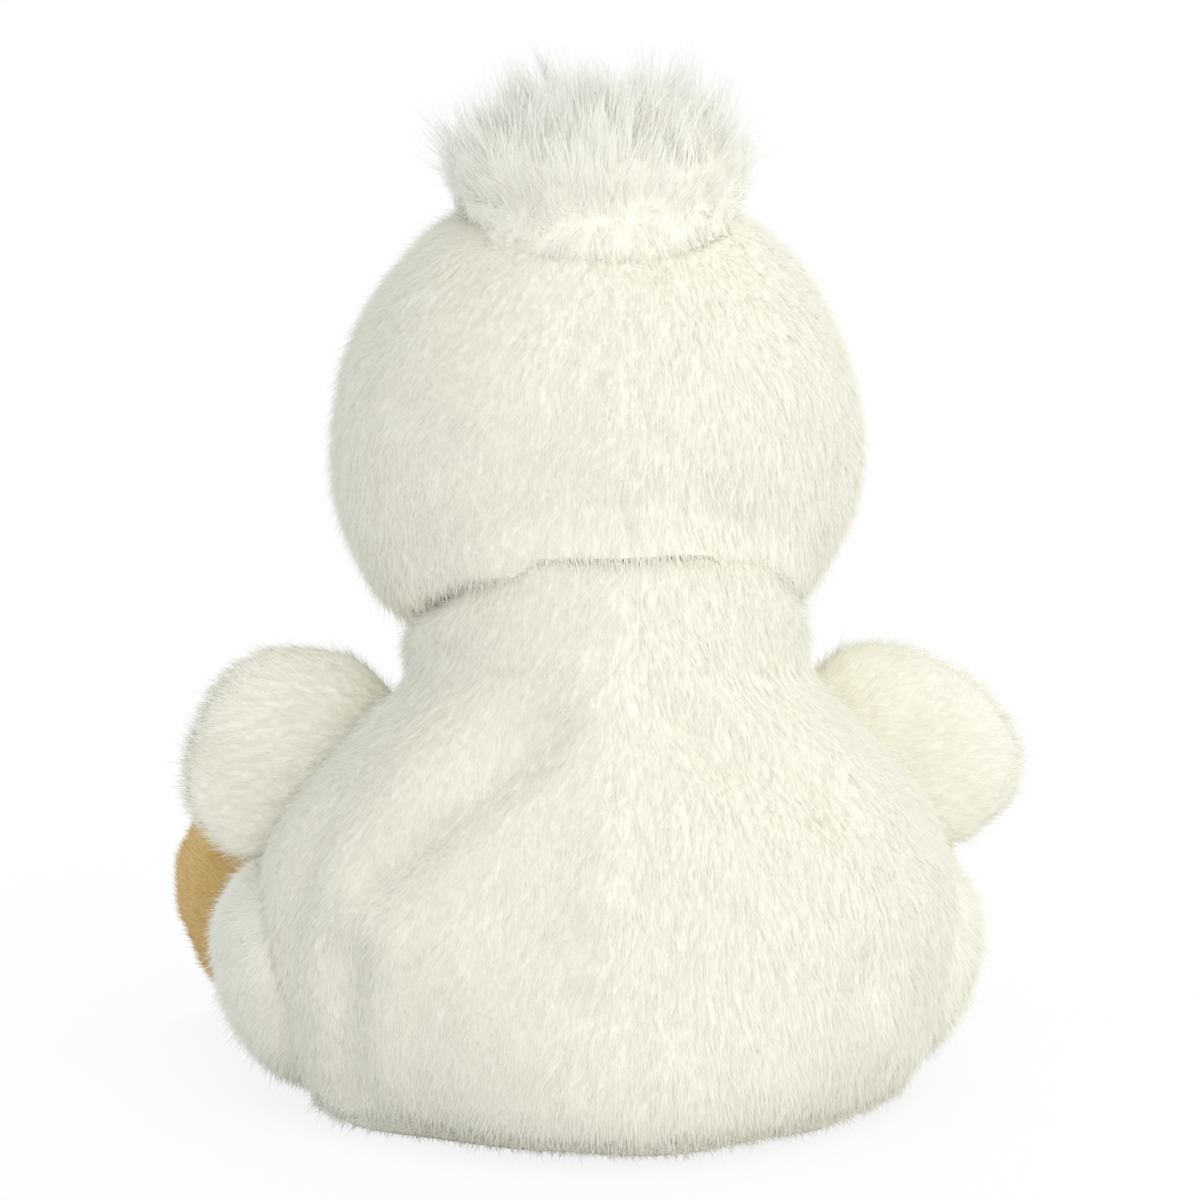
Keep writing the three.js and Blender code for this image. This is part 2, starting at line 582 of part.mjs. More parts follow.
function limbs(side, flip) {
  const sideGroup = new THREE.Group();
  sideGroup.scale.x = flip;
  group.add(sideGroup);

  const wingGroup = new THREE.Group();
  const lean = rad(WING_SLANT);
  const swing = WING_THICKNESS / 2 + GAP;
  wingGroup.position.set(
    WING_ROOT_X + swing * Math.cos(lean),
    WING_ROOT_Y,
    WING_ROOT_Z + swing * Math.sin(lean),
  );
  wingGroup.rotation.y = -lean;
  sideGroup.add(wingGroup);
  const place = (form) => geometryOf(form).rotateX(Math.PI / 2);
  const wing = (inset) => pillow(wingOutline(), WING_THICKNESS, inset);
  const wingShell = wing(0).subtract(wing(PLUSH));
  const front = wingShell.intersect(slab("z", GAP / 2, FAR));
  const rear = wingShell.intersect(slab("z", -FAR, -GAP / 2));
  piece(wingGroup, `wing_front_${side}`, place(front), "plush");
  piece(wingGroup, `wing_back_${side}`, place(rear), "plush");
  piece(wingGroup, `wing_stuffing_${side}`, place(wing(PLUSH + GAP)), "stuffing");

  const legShell = legForm(0).subtract(legForm(PLUSH)).subtract(bodyClear);
  piece(sideGroup, `leg_sleeve_${side}`, legShell, "plush");
  piece(sideGroup, `leg_stuffing_${side}`, legForm(PLUSH + GAP).subtract(bodyClear), "stuffing");

  const footGroup = new THREE.Group();
  const footFront = ANKLE_Y - ANKLE_RADIUS - GAP - FOOT_THICKNESS / 2;
  footGroup.position.set(ANKLE_X, footFront, ANKLE_Z + FOOT_RISE);
  footGroup.rotation.x = Math.PI / 2;
  sideGroup.add(footGroup);
  const foot = (inset) => pillow(footOutline(), FOOT_THICKNESS, inset);
  const footShell = foot(0).subtract(foot(PLUSH));
  piece(footGroup, `foot_sole_${side}`, footShell.intersect(slab("z", GAP / 2, FAR)), "orange");
  piece(footGroup, `foot_top_${side}`, footShell.intersect(slab("z", -FAR, -GAP / 2)), "orange");
  piece(footGroup, `foot_stuffing_${side}`, foot(PLUSH + GAP), "stuffing");
}

limbs("left", 1);
limbs("right", -1);

export default group;
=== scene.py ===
"""Palm-size plush pelican: sewn plush covers with their pile, the filling inside them and the fittings."""
import json
import math

import bmesh
import bpy
import numpy as np
from mathutils import Matrix, Vector
from mathutils.bvhtree import BVHTree


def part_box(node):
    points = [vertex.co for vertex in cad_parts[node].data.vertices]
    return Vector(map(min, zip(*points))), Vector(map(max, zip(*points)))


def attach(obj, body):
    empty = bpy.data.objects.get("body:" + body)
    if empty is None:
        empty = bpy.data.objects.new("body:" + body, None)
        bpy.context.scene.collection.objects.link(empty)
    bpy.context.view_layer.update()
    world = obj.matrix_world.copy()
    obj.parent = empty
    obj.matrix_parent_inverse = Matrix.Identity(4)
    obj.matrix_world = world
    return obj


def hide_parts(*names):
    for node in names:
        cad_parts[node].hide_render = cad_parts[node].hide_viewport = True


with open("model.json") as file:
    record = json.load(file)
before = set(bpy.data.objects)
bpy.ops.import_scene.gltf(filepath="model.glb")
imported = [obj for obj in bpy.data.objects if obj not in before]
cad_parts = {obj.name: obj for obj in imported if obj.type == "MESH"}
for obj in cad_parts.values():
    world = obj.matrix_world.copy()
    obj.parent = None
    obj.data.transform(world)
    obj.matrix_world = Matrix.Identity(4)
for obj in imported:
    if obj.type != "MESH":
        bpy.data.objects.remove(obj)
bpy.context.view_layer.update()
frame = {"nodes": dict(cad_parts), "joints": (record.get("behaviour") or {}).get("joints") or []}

# Body cover. Two back panels, a belly panel and an oval base of creamy white plush are sewn face to face,
# turned and stuffed. The cloth swells between the seams, and the back has soft folds where the toy sits.
MM = 0.001
SIDES = {"left": 1, "right": -1}
CLOTH = 1.2 * MM
SAME_PLACE = 0.005 * MM
joints = {joint["name"]: joint for joint in frame["joints"]}
neck_middle = Vector(joints["head_nod"]["pos_m"])
neck_axis = Vector(joints["head_turn"]["axis"])


def places(mesh):
    """The mesh's points as an array."""
    flat = np.empty(len(mesh.vertices) * 3, np.float32)
    mesh.vertices.foreach_get("co", flat)
    return flat.reshape(-1, 3).astype(float)


def place(mesh, points):
    """Puts the mesh's points at these places."""
    mesh.vertices.foreach_set("co", points.astype(np.float32).ravel())
    mesh.update()


def facing(mesh):
    """The way each point of the mesh faces."""
    flat = np.empty(len(mesh.vertices) * 3, np.float32)
    mesh.vertex_normals.foreach_get("vector", flat)
    return flat.reshape(-1, 3).astype(float)


def unit(vectors):
    """The vectors, each made one long."""
    return vectors / np.maximum(np.linalg.norm(vectors, axis=-1, keepdims=True), 1e-12)


def new_piece(name, shape):
    """A piece made from a bmesh."""
    mesh = bpy.data.meshes.new(name)
    shape.to_mesh(mesh)
    shape.free()
    piece = bpy.data.objects.new(name, mesh)
    bpy.context.scene.collection.objects.link(piece)
    return piece


def solids(name, *nodes):
    """The solids of one stuffed form, copied into one mesh."""
    shape = bmesh.new()
    for node in nodes:
        shape.from_mesh(frame["nodes"][node].data)
    bmesh.ops.remove_doubles(shape, verts=shape.verts, dist=SAME_PLACE)
    return new_piece(name, shape)


def applied(piece):
    """Makes the shape that the modifiers show the piece's own mesh."""
    depsgraph = bpy.context.evaluated_depsgraph_get()
    shown = bpy.data.meshes.new_from_object(piece.evaluated_get(depsgraph))
    piece.modifiers.clear()
    piece.data = shown


def evened(piece, voxel, rounds):
    """One closed skin of even cloth round all the solids of a form."""
    even = piece.modifiers.new("even", "REMESH")
    even.mode = "VOXEL"
    even.voxel_size = voxel * MM
    applied(piece)
    soft = bmesh.new()
    soft.from_mesh(piece.data)
    for _ in range(rounds):
        bmesh.ops.smooth_vert(soft, verts=soft.verts, factor=0.5,
                              use_axis_x=True, use_axis_y=True, use_axis_z=True)
    soft.to_mesh(piece.data)
    soft.free()


STUFFING_PRESSURE = 4
STUFFING_STEPS = 20


def swollen(piece, held, limit):
    """Stuffs the form: the cloth is blown out from inside, held at its seams, by no more than a limit."""
    start = places(piece.data)
    seams = piece.vertex_groups.new(name="seams")
    seams.add([int(index) for index in np.flatnonzero(held(start))], 1.0, "REPLACE")
    cloth = piece.modifiers.new("cloth", "CLOTH")
    cloth.settings.quality = 6
    cloth.settings.use_pressure = True
    cloth.settings.uniform_pressure_force = STUFFING_PRESSURE
    cloth.settings.vertex_group_mass = "seams"
    cloth.settings.effector_weights.gravity = 0
    cloth.collision_settings.use_collision = False
    for step in range(1, STUFFING_STEPS + 1):
        bpy.context.scene.frame_set(step)
    applied(piece)
    piece.vertex_groups.clear()
    move = places(piece.data) - start
    reach = np.linalg.norm(move, axis=1, keepdims=True)
    place(piece.data, start + move * np.minimum(1, limit * MM / np.maximum(reach, 1e-9)))
    bpy.context.scene.frame_set(1)
    finer = piece.modifiers.new("finer", "SUBSURF")
    finer.levels = 1
    finer.render_levels = 1
    applied(piece)


def off_line(points, line):
    """How far each point lies from a line through a few places, or from one place, in millimetres."""
    stops = np.array(line, float) * MM
    nearest = np.linalg.norm(points - stops[0], axis=1)
    for start, end in zip(stops[:-1], stops[1:]):
        way = end - start
        share = np.clip((points - start) @ way / (way @ way), 0, 1)
        nearest = np.minimum(nearest, np.linalg.norm(points - start - share[:, None] * way, axis=1))
    return nearest / MM


FOLD_RIDGE = 0.35
RIDGE_OFF = 2.0


def folded(piece, line, depth, width):
    """Presses a fold into the stuffed form along a line, with the cloth pushed up a little on both sides."""
    points = places(piece.data)
    off = off_line(points, line) / width
    press = np.exp(-off ** 2) - FOLD_RIDGE * np.exp(-(off - RIDGE_OFF) ** 2)
    place(piece.data, points - facing(piece.data) * (press * depth * MM)[:, None])


def filled(piece, line, height, width):
    """Lets the stuffing stand out further along a line or at a place."""
    points = places(piece.data)
    rise = np.exp(-(off_line(points, line) / width) ** 2)
    place(piece.data, points + facing(piece.data) * (rise * height * MM)[:, None])


SWELLS = 7
SWELL_SPREAD = (0.7, 1.5)


def uneven(piece, amount, wave, seed):
    """Slow swells in the stuffing, as a sum of a few waves across the form."""
    draw = np.random.default_rng(seed)
    points = places(piece.data)
    height = np.zeros(len(points))
    for _ in range(SWELLS):
        way = unit(draw.normal(size=3)) * (2 * math.pi / (wave * MM * draw.uniform(*SWELL_SPREAD)))
        height += np.sin(points @ way + draw.uniform(0, 2 * math.pi))
    place(piece.data, points + facing(piece.data) * (height * amount * MM / 3)[:, None])


def panel(form, name, cuts, drop=None):
    """One cut piece of a stuffed cover: what lies before every cutting plane, less the faces dropped."""
    sheet = bmesh.new()
    sheet.from_mesh(form.data)
    for point, way in cuts:
        everything = sheet.verts[:] + sheet.edges[:] + sheet.faces[:]
        bmesh.ops.bisect_plane(sheet, geom=everything, dist=1e-7, plane_co=point, plane_no=way,
                               clear_inner=True)
    if drop:
        faces = sheet.faces[:]
        gone = drop(np.array([face.calc_center_median() for face in faces]))
        bmesh.ops.delete(sheet, geom=[faces[index] for index in np.flatnonzero(gone)], context="FACES")
    for face in sheet.faces:
        face.smooth = True
    return new_piece(name, sheet)


SHARP_EDGE = math.radians(50)


def thickened(piece):
    """Gives a panel the thickness of its cloth, inwards."""
    wall = piece.modifiers.new("cloth", "SOLIDIFY")
    wall.thickness = CLOTH
    wall.offset = -1
    applied(piece)
    piece.data.set_sharp_from_angle(angle=SHARP_EDGE)


class Shade:
    """A shader value, so that sums of values read as plain expressions."""

    def __init__(self, tree, socket=None):
        self.tree = tree
        self.socket = socket

    def node(self, kind, settings, inputs, out=0):
        """Adds a node: its settings first, then a value or a link for each of its sockets."""
        made = self.tree.nodes.new(kind)
        for name, value in settings.items():
            setattr(made, name, value)
        for name, value in inputs.items():
            if isinstance(value, Shade):
                self.tree.links.new(value.socket, made.inputs[name])
            else:
                made.inputs[name].default_value = value
        return Shade(self.tree, made.outputs[out])

    def sum(self, operation, first, second):
        """Works out a sum of two values."""
        return self.node("ShaderNodeMath", {"operation": operation}, {0: first, 1: second})

    def __add__(self, other):
        return self.sum("ADD", self, other)

    __radd__ = __add__

    def __mul__(self, other):
        return self.sum("MULTIPLY", self, other)

    __rmul__ = __mul__

    def blend(self, low, high):
        """A colour between two, by this value."""
        return self.node("ShaderNodeMix", {"data_type": "RGBA"}, {0: self, 6: low, 7: high}, out=2)


def new_finish(name, roughness):
    """A material, its Principled shader and the tree that the shader stands in."""
    finish = bpy.data.materials.new(name)
    finish.use_nodes = True
    shader = finish.node_tree.nodes["Principled BSDF"]
    shader.inputs["Roughness"].default_value = roughness
    return finish, shader, Shade(finish.node_tree)


def feed(shader, socket, value):
    """Links a value to a socket of a shader."""
    value.tree.links.new(value.socket, shader.inputs[socket])


TONES = 48
PALE_SHARE = 0.4
PILE_GLOSS = 0.2
STRAND_MAP = "OFBake"


def pile_finish(name, root, tip, pale):
    """Fine pile: each strand has its own tone, and a painted shade makes it darker towards its root, where
    the pile shades itself.
    """
    finish, shader, tree = new_finish(name, roughness=0.8)
    map_place = tree.node("ShaderNodeUVMap", {"uv_map": STRAND_MAP}, {})
    across = tree.node("ShaderNodeSeparateXYZ", {}, {0: map_place}, out="X")
    height = tree.node("ShaderNodeSeparateXYZ", {}, {0: map_place}, out="Y")
    column = tree.node("ShaderNodeMath", {"operation": "FLOOR"}, {0: across * TONES})
    tone = tree.node("ShaderNodeTexWhiteNoise", {"noise_dimensions": "1D"}, {"W": column + 0.5})
    # The colour runs from the root's colour to the tip's: painted shade, darker at the root where the strands
    # shade each other.
    colour = (tone * PALE_SHARE).blend(height.blend((*root, 1), (*tip, 1)), (*pale, 1))
    feed(shader, "Base Color", colour)
    shader.inputs["Specular IOR Level"].default_value = PILE_GLOSS
    return finish


def clouded(tree, scale, detail=2.0):
    """Light and dark places all over a piece."""
    where = tree.node("ShaderNodeTexCoord", {}, {}, out="Object")
    return tree.node("ShaderNodeTexNoise", {}, {"Vector": where, "Scale": scale, "Detail": detail})


GRAIN_HEIGHT = 0.3 * MM


def cloth_finish(name, dark, light, grain):
    """Knitted or felted cloth: small light and dark grains that also stand up a little."""
    finish, shader, tree = new_finish(name, roughness=0.95)
    knit = clouded(tree, grain, detail=3.0)
    feed(shader, "Base Color", knit.blend((*dark, 1), (*light, 1)))
    raised = tree.node("ShaderNodeBump", {}, {"Strength": 0.5, "Distance": GRAIN_HEIGHT, "Height": knit})
    feed(shader, "Normal", raised)
    return finish


def strand(name, cuts):
    """A three-sided fibre that tapers to its tip, one unit long, with a map that runs from root to tip."""
    shape = bmesh.new()
    bmesh.ops.create_cone(shape, cap_ends=True, segments=3, radius1=0.5, radius2=0, depth=1)
    bmesh.ops.remove_doubles(shape, verts=shape.verts, dist=1e-4)
    bmesh.ops.translate(shape, verts=shape.verts, vec=(0, 0, 0.5))
    if cuts:
        rising = [edge for edge in shape.edges if abs(edge.verts[0].co.z - edge.verts[1].co.z) > 0.5]
        bmesh.ops.subdivide_edges(shape, edges=rising, cuts=cuts, use_grid_fill=True)
    bmesh.ops.triangulate(shape, faces=shape.faces)
    layer = shape.loops.layers.uv.new(STRAND_MAP)
    for face in shape.faces:
        for loop in face.loops:
            x, y, z = loop.vert.co
            loop[layer].uv = (0.5 + 0.8 * x, 0.06 + 0.9 * z + 0.08 * y)
    return new_piece(name, shape)


short_strand = strand("short_strand", 0)


def scattered(cover, name, fibre, size, density, seed):
    """Stands copies of a shape on the cover, at random places or on its points, as one mesh."""
    tree = bpy.data.node_groups.new(name, "GeometryNodeTree")
    tree.interface.new_socket("Cover", in_out="INPUT", socket_type="NodeSocketGeometry")
    tree.interface.new_socket("Pile", in_out="OUTPUT", socket_type="NodeSocketGeometry")
    start = tree.nodes.new("NodeGroupInput")
    end = tree.nodes.new("NodeGroupOutput")
    share = tree.nodes.new("GeometryNodeInputNamedAttribute")
    share.data_type = "FLOAT"
    share.inputs["Name"].default_value = "pile"
    amount = tree.nodes.new("ShaderNodeMath")
    amount.operation = "MULTIPLY"
    amount.inputs[1].default_value = density / MM ** 2
    spots = tree.nodes.new("GeometryNodeDistributePointsOnFaces")
    spots.inputs["Seed"].default_value = seed
    source = tree.nodes.new("GeometryNodeObjectInfo")
    source.inputs["Object"].default_value = fibre
    stand = tree.nodes.new("GeometryNodeInstanceOnPoints")
    stand.inputs["Scale"].default_value = (size, size, size)
    real = tree.nodes.new("GeometryNodeRealizeInstances")
    links = [(source.outputs["Geometry"], stand.inputs["Instance"]), (stand.outputs[0], real.inputs[0]),
             (real.outputs[0], end.inputs[0])]
    if density:
        links += [(start.outputs[0], spots.inputs["Mesh"]), (share.outputs["Attribute"], amount.inputs[0]),
                  (amount.outputs[0], spots.inputs["Density"]),
                  (spots.outputs["Points"], stand.inputs["Points"]),
                  (spots.outputs["Rotation"], stand.inputs["Rotation"])]
    else:
        links += [(start.outputs[0], stand.inputs["Points"])]
    for output, socket in links:
        tree.links.new(output, socket)
    pile = bpy.data.objects.new(name, cover.data.copy())
    bpy.context.scene.collection.objects.link(pile)
    grown = pile.modifiers.new("pile", "NODES")
    grown.node_group = tree
    applied(pile)
    bpy.data.node_groups.remove(tree)
    return pile


RIPPLES = 6
RIPPLE_SPREAD = (0.6, 1.6)


def rippled(points, wave, seed):
    """A smooth random push at each place, which neighbouring strands share."""
    draw = np.random.default_rng(seed)
    push = np.zeros((len(points), 3))
    for _ in range(RIPPLES):
        way = unit(draw.normal(size=3)) * (2 * math.pi / (wave * MM * draw.uniform(*RIPPLE_SPREAD)))
        push += np.sin(points @ way + draw.uniform(0, 2 * math.pi))[:, None] * draw.normal(size=3)
    return push / 3


SHEEN_SPREAD = 0.07
SHEEN_LEAST = 0.35


def shaded_softly(mesh, strands, rise, sheen, draw):
    """Lets each strand take the light as the cover below it does, with a little of its own roundness."""
    corners = np.empty(len(mesh.loops), np.int32)
    mesh.loops.foreach_get("vertex_index", corners)
    sides = strands.reshape(-1, 3)[corners].reshape(len(strands), -1, 3, 3)
    out = unit(np.cross(sides[:, :, 1] - sides[:, :, 0], sides[:, :, 2] - sides[:, :, 0]))
    soft = unit(rise + SHEEN_SPREAD * draw.normal(size=rise.shape))[:, None] + sheen * out
    soft = soft + out * np.maximum(SHEEN_LEAST - (soft * out).sum(2, keepdims=True), 0)
    mesh.polygons.foreach_set("use_smooth", np.ones(len(mesh.polygons), bool))
    mesh.normals_split_custom_set(np.repeat(unit(soft), 3, axis=1).reshape(-1, 3).tolist())


def toned(mesh, count, draw):
    """Gives each strand one column of the map, and with it a tone."""
    layer = mesh.uv_layers[STRAND_MAP]
    flat = np.empty(len(mesh.loops) * 2, np.float32)
    layer.uv.foreach_get("vector", flat)
    spread = flat.reshape(count, -1, 2)
    spread[:, :, 0] = (spread[:, :, 0] + draw.integers(0, TONES, count)[:, None]) / TONES
    layer.uv.foreach_set("vector", spread.ravel())


FLOOR_CLEAR = 0.05 * MM
ROOT_DEPTH = 0.3 * MM
RIPPLE = 0.2
RIPPLE_WAVE = 7.0
TANGLE = 0.16
LEAN_SPREAD = 8
LENGTH_SPREAD = (0.7, 1.2)
TUFT_PULL = (0.1, 0.7)
TUFT_CURVE = 1.6
FLATNESS = 0.4


def at_each(value, points):
    """A measure of the pile: one number, or one that changes from place to place."""
    return value(points) if callable(value) else value


def pile_on(cover, fibre, finish, density, length, width, lean, nap, seed, where=None,
            stray=(0.05, 1.3, 0.75), tufts=0, sheen=0.15):
    """Grows the cover's pile: strands that lean along the nap, with their own lengths, tangles and tufts.

    The stray hairs are given by their share, and by how much longer and less flat they are.
    """
    stray_share, stray_length, stray_lean = stray
    points = places(cover.data)
    share = cover.data.attributes.new("pile", "FLOAT", "POINT")
    share.data.foreach_set("value", np.asarray(where(points) if where else np.ones(len(points)), np.float32))
    pile = scattered(cover, cover.name + "_pile", fibre, MM, density, seed)
    mesh = pile.data
    draw = np.random.default_rng(seed)
    form = places(fibre.data)
    at = places(mesh).reshape(-1, len(form), 3)
    count = len(at)
    bottom = form[:, 2] < 0.01
    top = form[:, 2] > 0.99
    root = at[:, bottom].mean(1)
    rise = unit(at[:, top].mean(1) - root)
    flow = nap(root) + RIPPLE * rippled(root, RIPPLE_WAVE, seed) + TANGLE * draw.normal(size=(count, 3))
    flow = unit(flow - (flow * rise).sum(1, keepdims=True) * rise)
    side = np.cross(rise, flow)
    loose = draw.random(count) < at_each(stray_share, root)
    tall = at_each(length, root) * draw.uniform(*LENGTH_SPREAD, count)
    tall = (tall * np.where(loose, stray_length, 1.0) * MM)[:, None, None]
    tilt = at_each(lean, root) * np.where(loose, stray_lean, 1.0) + LEAN_SPREAD * draw.normal(size=count)
    z = form[None, :, 2:3]
    bend = np.radians(tilt)[:, None, None] * (0.5 + 0.5 * z)
    spine = tall * z * (rise[:, None] * np.cos(bend) + flow[:, None] * np.sin(bend))
    if tufts:
        heads = draw.choice(count, tufts, replace=False)
        own = np.linalg.norm(root[:, None] - root[None, heads], axis=2).argmin(1)
        tip = root + spine[:, top].mean(1)
        pull = (tip[heads][own] - tip) * draw.uniform(*TUFT_PULL, count)[:, None]
        spine = spine + pull[:, None] * z ** TUFT_CURVE
    thick = form[None, :, 0:1] * side[:, None] + FLATNESS * form[None, :, 1:2] * rise[:, None]
    grown = root[:, None] - ROOT_DEPTH * rise[:, None] + spine + thick * width * MM
    grown[:, :, 2] = np.maximum(grown[:, :, 2], FLOOR_CLEAR)
    place(mesh, grown.reshape(-1, 3))
    shaded_softly(mesh, grown, rise, sheen, draw)
    toned(mesh, count, draw)
    mesh.materials.clear()
    mesh.materials.append(finish)
    return pile


SIGHT = Vector((0.31, 0.17, 0.93)).normalized()
PAST_WALL = 0.001 * MM


def surface(mesh):
    """The mesh as a surface that a line of sight can meet."""
    return BVHTree.FromPolygons(places(mesh), [polygon.vertices[:] for polygon in mesh.polygons])


def inside(points, *nodes):
    """Which points lie inside these solids: a line of sight goes out through an odd number of walls."""
    within = np.zeros(len(points), bool)
    for node in nodes:
        tree = surface(frame["nodes"][node].data)
        for index, point in enumerate(points):
            spot = tree.ray_cast(point, SIGHT)[0]
            walls = 0
            while spot:
                walls += 1
                spot = tree.ray_cast(spot + SIGHT * PAST_WALL, SIGHT)[0]
            within[index] |= walls % 2 == 1
    return within


def finished(cover, pile, body, node):
    """Closes a panel, hangs it and its pile on the part they ride on, and hides the solid they take the place
    of.
    """
    thickened(cover)
    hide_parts(node)
    for piece in (cover, pile):
        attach(piece, body)


WHITE = (0.94, 0.915, 0.81)
# As the pile's root colour this darker white is painted shade at the strands' roots; in the ground cloth it
# is the knit's dark grain.
WHITE_ROOT_SHADE_AND_GRAIN = (0.92, 0.895, 0.785)
WHITE_PALE = (0.955, 0.94, 0.87)
PLUSH_GRAIN = 900.0
PLUSH_LENGTH = 2.6
PLUSH_WIDTH = 0.16
PLUSH_DENSITY = 9.5
PLUSH_LEAN = 66
white_pile = pile_finish("white_plush_pile", root=WHITE_ROOT_SHADE_AND_GRAIN, tip=WHITE, pale=WHITE_PALE)
white_cloth = cloth_finish("white_plush_ground", dark=WHITE_ROOT_SHADE_AND_GRAIN, light=WHITE, grain=PLUSH_GRAIN)


def plush(cover, body, node, nap, seed, where=None, lean=PLUSH_LEAN, length=PLUSH_LENGTH,
          density=PLUSH_DENSITY):
    """Finishes a panel of creamy white plush."""
    cover.data.materials.append(white_cloth)
    pile = pile_on(cover, short_strand, white_pile, density, length, PLUSH_WIDTH, lean, nap, seed, where)
    finished(cover, pile, body, node)


def combed(way):
    """A nap that runs one way all over a panel."""
    return lambda points: np.tile(way, (len(points), 1))


GROUND_PILE = 5 * MM
GROUND_SPREAD = 1.5


def downwards(points):
    """The nap hangs down, and turns outwards where the toy meets the ground."""
    low = np.clip(1 - points[:, 2] / GROUND_PILE, 0, 1)[:, None]
    outwards = unit(points * (1, 1, 0))
    return np.array((0, 0, -1.0)) * (1 - low) + outwards * low * GROUND_SPREAD


body_form = solids("body_form", "back_panel_left", "back_panel_right", "belly_panel", "base_panel",
                   "body_stuffing", "bean_pouch", "bean_charge")
evened(body_form, voxel=2.6, rounds=4)
SEAM_ALLOWANCE = 0.15 * MM
side_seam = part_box("belly_panel")[1].y + SEAM_ALLOWANCE
base_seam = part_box("base_panel")[1].z
NECK_EDGE = 19 * MM
NECK_THREAD = 9 * MM
COLLAR_RADIUS = 22
COLLAR_BARE = 1 * MM
SEAM_HALF = 1.5 * MM
BASE_SEAM_HALF = 1.0 * MM
SEAT_CLEAR = 0.5 * MM


def above_neck(points):
    """How far up the neck's axis each point lies."""
    return (points - np.array(neck_middle)) @ np.array(neck_axis)


def body_seams(points):
    """Which points the seams of the body hold."""
    on_spine = (np.abs(points[:, 0]) < SEAM_HALF) & (points[:, 1] > side_seam)
    on_side = np.abs(points[:, 1] - side_seam) < SEAM_HALF
    on_base = points[:, 2] < base_seam + BASE_SEAM_HALF
    return on_spine | on_side | on_base | (above_neck(points) > NECK_THREAD)


swollen(body_form, body_seams, limit=0.9)
collar_out = neck_axis.orthogonal().normalized()
collar = []
for turn in range(0, 361, 15):
    out = Matrix.Rotation(math.radians(turn), 3, neck_axis) @ collar_out
    collar.append((neck_middle + neck_axis * NECK_THREAD) / MM + out * COLLAR_RADIUS)
filled(body_form, collar, height=1.7, width=3.0)
NAPE_BEARINGS = (-80, -45, 25, 65)
TURN_FADE = 3


def flush(piece, heights, reaches):
    """Brings the cloth at the nape out to a line up the neck, so that head and back run into each other."""
    points = places(piece.data)
    height = above_neck(points)
    arm = points - np.array(neck_middle) - height[:, None] * np.array(neck_axis)
    reach = np.linalg.norm(arm, axis=1)
    bearing = np.degrees(np.arctan2(arm[:, 0], arm[:, 1]))
    share = np.interp(bearing, NAPE_BEARINGS, (0, 1, 1, 0))
    share *= np.clip(TURN_FADE * (facing(piece.data) * unit(arm)).sum(1), 0, 1)
    short = np.interp(height / MM, heights, reaches) * MM - reach
    place(piece.data, points + unit(arm) * (np.maximum(short, 0) * share)[:, None])


NAPE_FILLING = [(6, 28, 53), (-6, 28, 53)]
SEAT_FILLING = [(30, 15, 4)]
FLANK_FILLING = [(27, 6, 48)]
BACK_PUFFS = ((3, 35, 37.7), (3.5, 37.5, 30.4), (4, 40, 22.5), (-4, 42.4, 11.6))
BACK_FOLDS = (
    ([(0, 36, 52), (0, 40, 40), (0, 44, 20), (0, 44, 10)], 0.25, 1.8),
    ([(9, 28, 48), (14.6, 29, 43.7), (27.9, 27.2, 32.2)], 1.3, 3.6),
    ([(-6, 28, 49), (-10.1, 28.8, 46.5), (-21.6, 27.5, 39.2)], 1.3, 3.6),
    ([(31.3, 27, 22), (30.7, 24.4, 7)], 1.2, 3.0),
    ([(-26.8, 31.7, 18.8)], 1.0, 3.5),
)
COLLAR_HEIGHTS = (-12, -11, 0, 4, 9, 13, 14.5, 16, 18, 19, 20)
COLLAR_REACHES = (0, 22.3, 23.5, 24.2, 25, 25.4, 23.5, 20, 15, 12.8, 0)
flush(body_form, COLLAR_HEIGHTS, COLLAR_REACHES)
filled(body_form, NAPE_FILLING, height=0.9, width=5)
uneven(body_form, amount=0.35, wave=16, seed=3)
filled(body_form, SEAT_FILLING, height=2.0, width=6)
filled(body_form, FLANK_FILLING, height=1.0, width=4)
for line, depth, width in BACK_FOLDS:
    folded(body_form, line, depth, width)
for puff in BACK_PUFFS:
    filled(body_form, [puff], height=1.0, width=3.2)


def seated(piece):
    """Flattens the cloth where it rests on the ground."""
    points = places(piece.data)
    points[:, 2] = np.maximum(points[:, 2], SEAT_CLEAR)
    place(piece.data, points)


seated(body_form)

across = {side: (Vector((0, 0, 0)), Vector((sign, 0, 0))) for side, sign in SIDES.items()}
behind = (Vector((0, side_seam, 0)), Vector((0, 1, 0)))
before = (Vector((0, side_seam, 0)), Vector((0, -1, 0)))
above_base = (Vector((0, 0, base_seam)), Vector((0, 0, 1)))
below_base = (Vector((0, 0, base_seam)), Vector((0, 0, -1)))
below_neck = (neck_middle + neck_axis * NECK_EDGE, -neck_axis)


def open_body(points):
    """The pile stops inside the head and the legs."""
    hidden = inside(points, "leg_stuffing_left", "leg_stuffing_right")
    return 1.0 - (hidden | (above_neck(points) > NECK_EDGE - COLLAR_BARE))


for side in SIDES:
    cover = panel(body_form, "back_" + side, [across[side], behind, above_base, below_neck])
    plush(cover, "body", "back_panel_" + side, downwards, seed=11 + SIDES[side], where=open_body)
cover = panel(body_form, "belly", [before, above_base, below_neck])
plush(cover, "body", "belly_panel", downwards, seed=14, where=open_body)
BASE_LEAN = 80
BASE_DENSITY = 4.0
BASE_PILE_TOP = 0.9 * MM
cover = panel(body_form, "base", [below_base])
plush(cover, "body", "base_panel", combed((0.0, 1.0, 0.0)), seed=15,
      where=lambda at: at[:, 2] < BASE_PILE_TOP, lean=BASE_LEAN, density=BASE_DENSITY)
bpy.data.objects.remove(body_form)

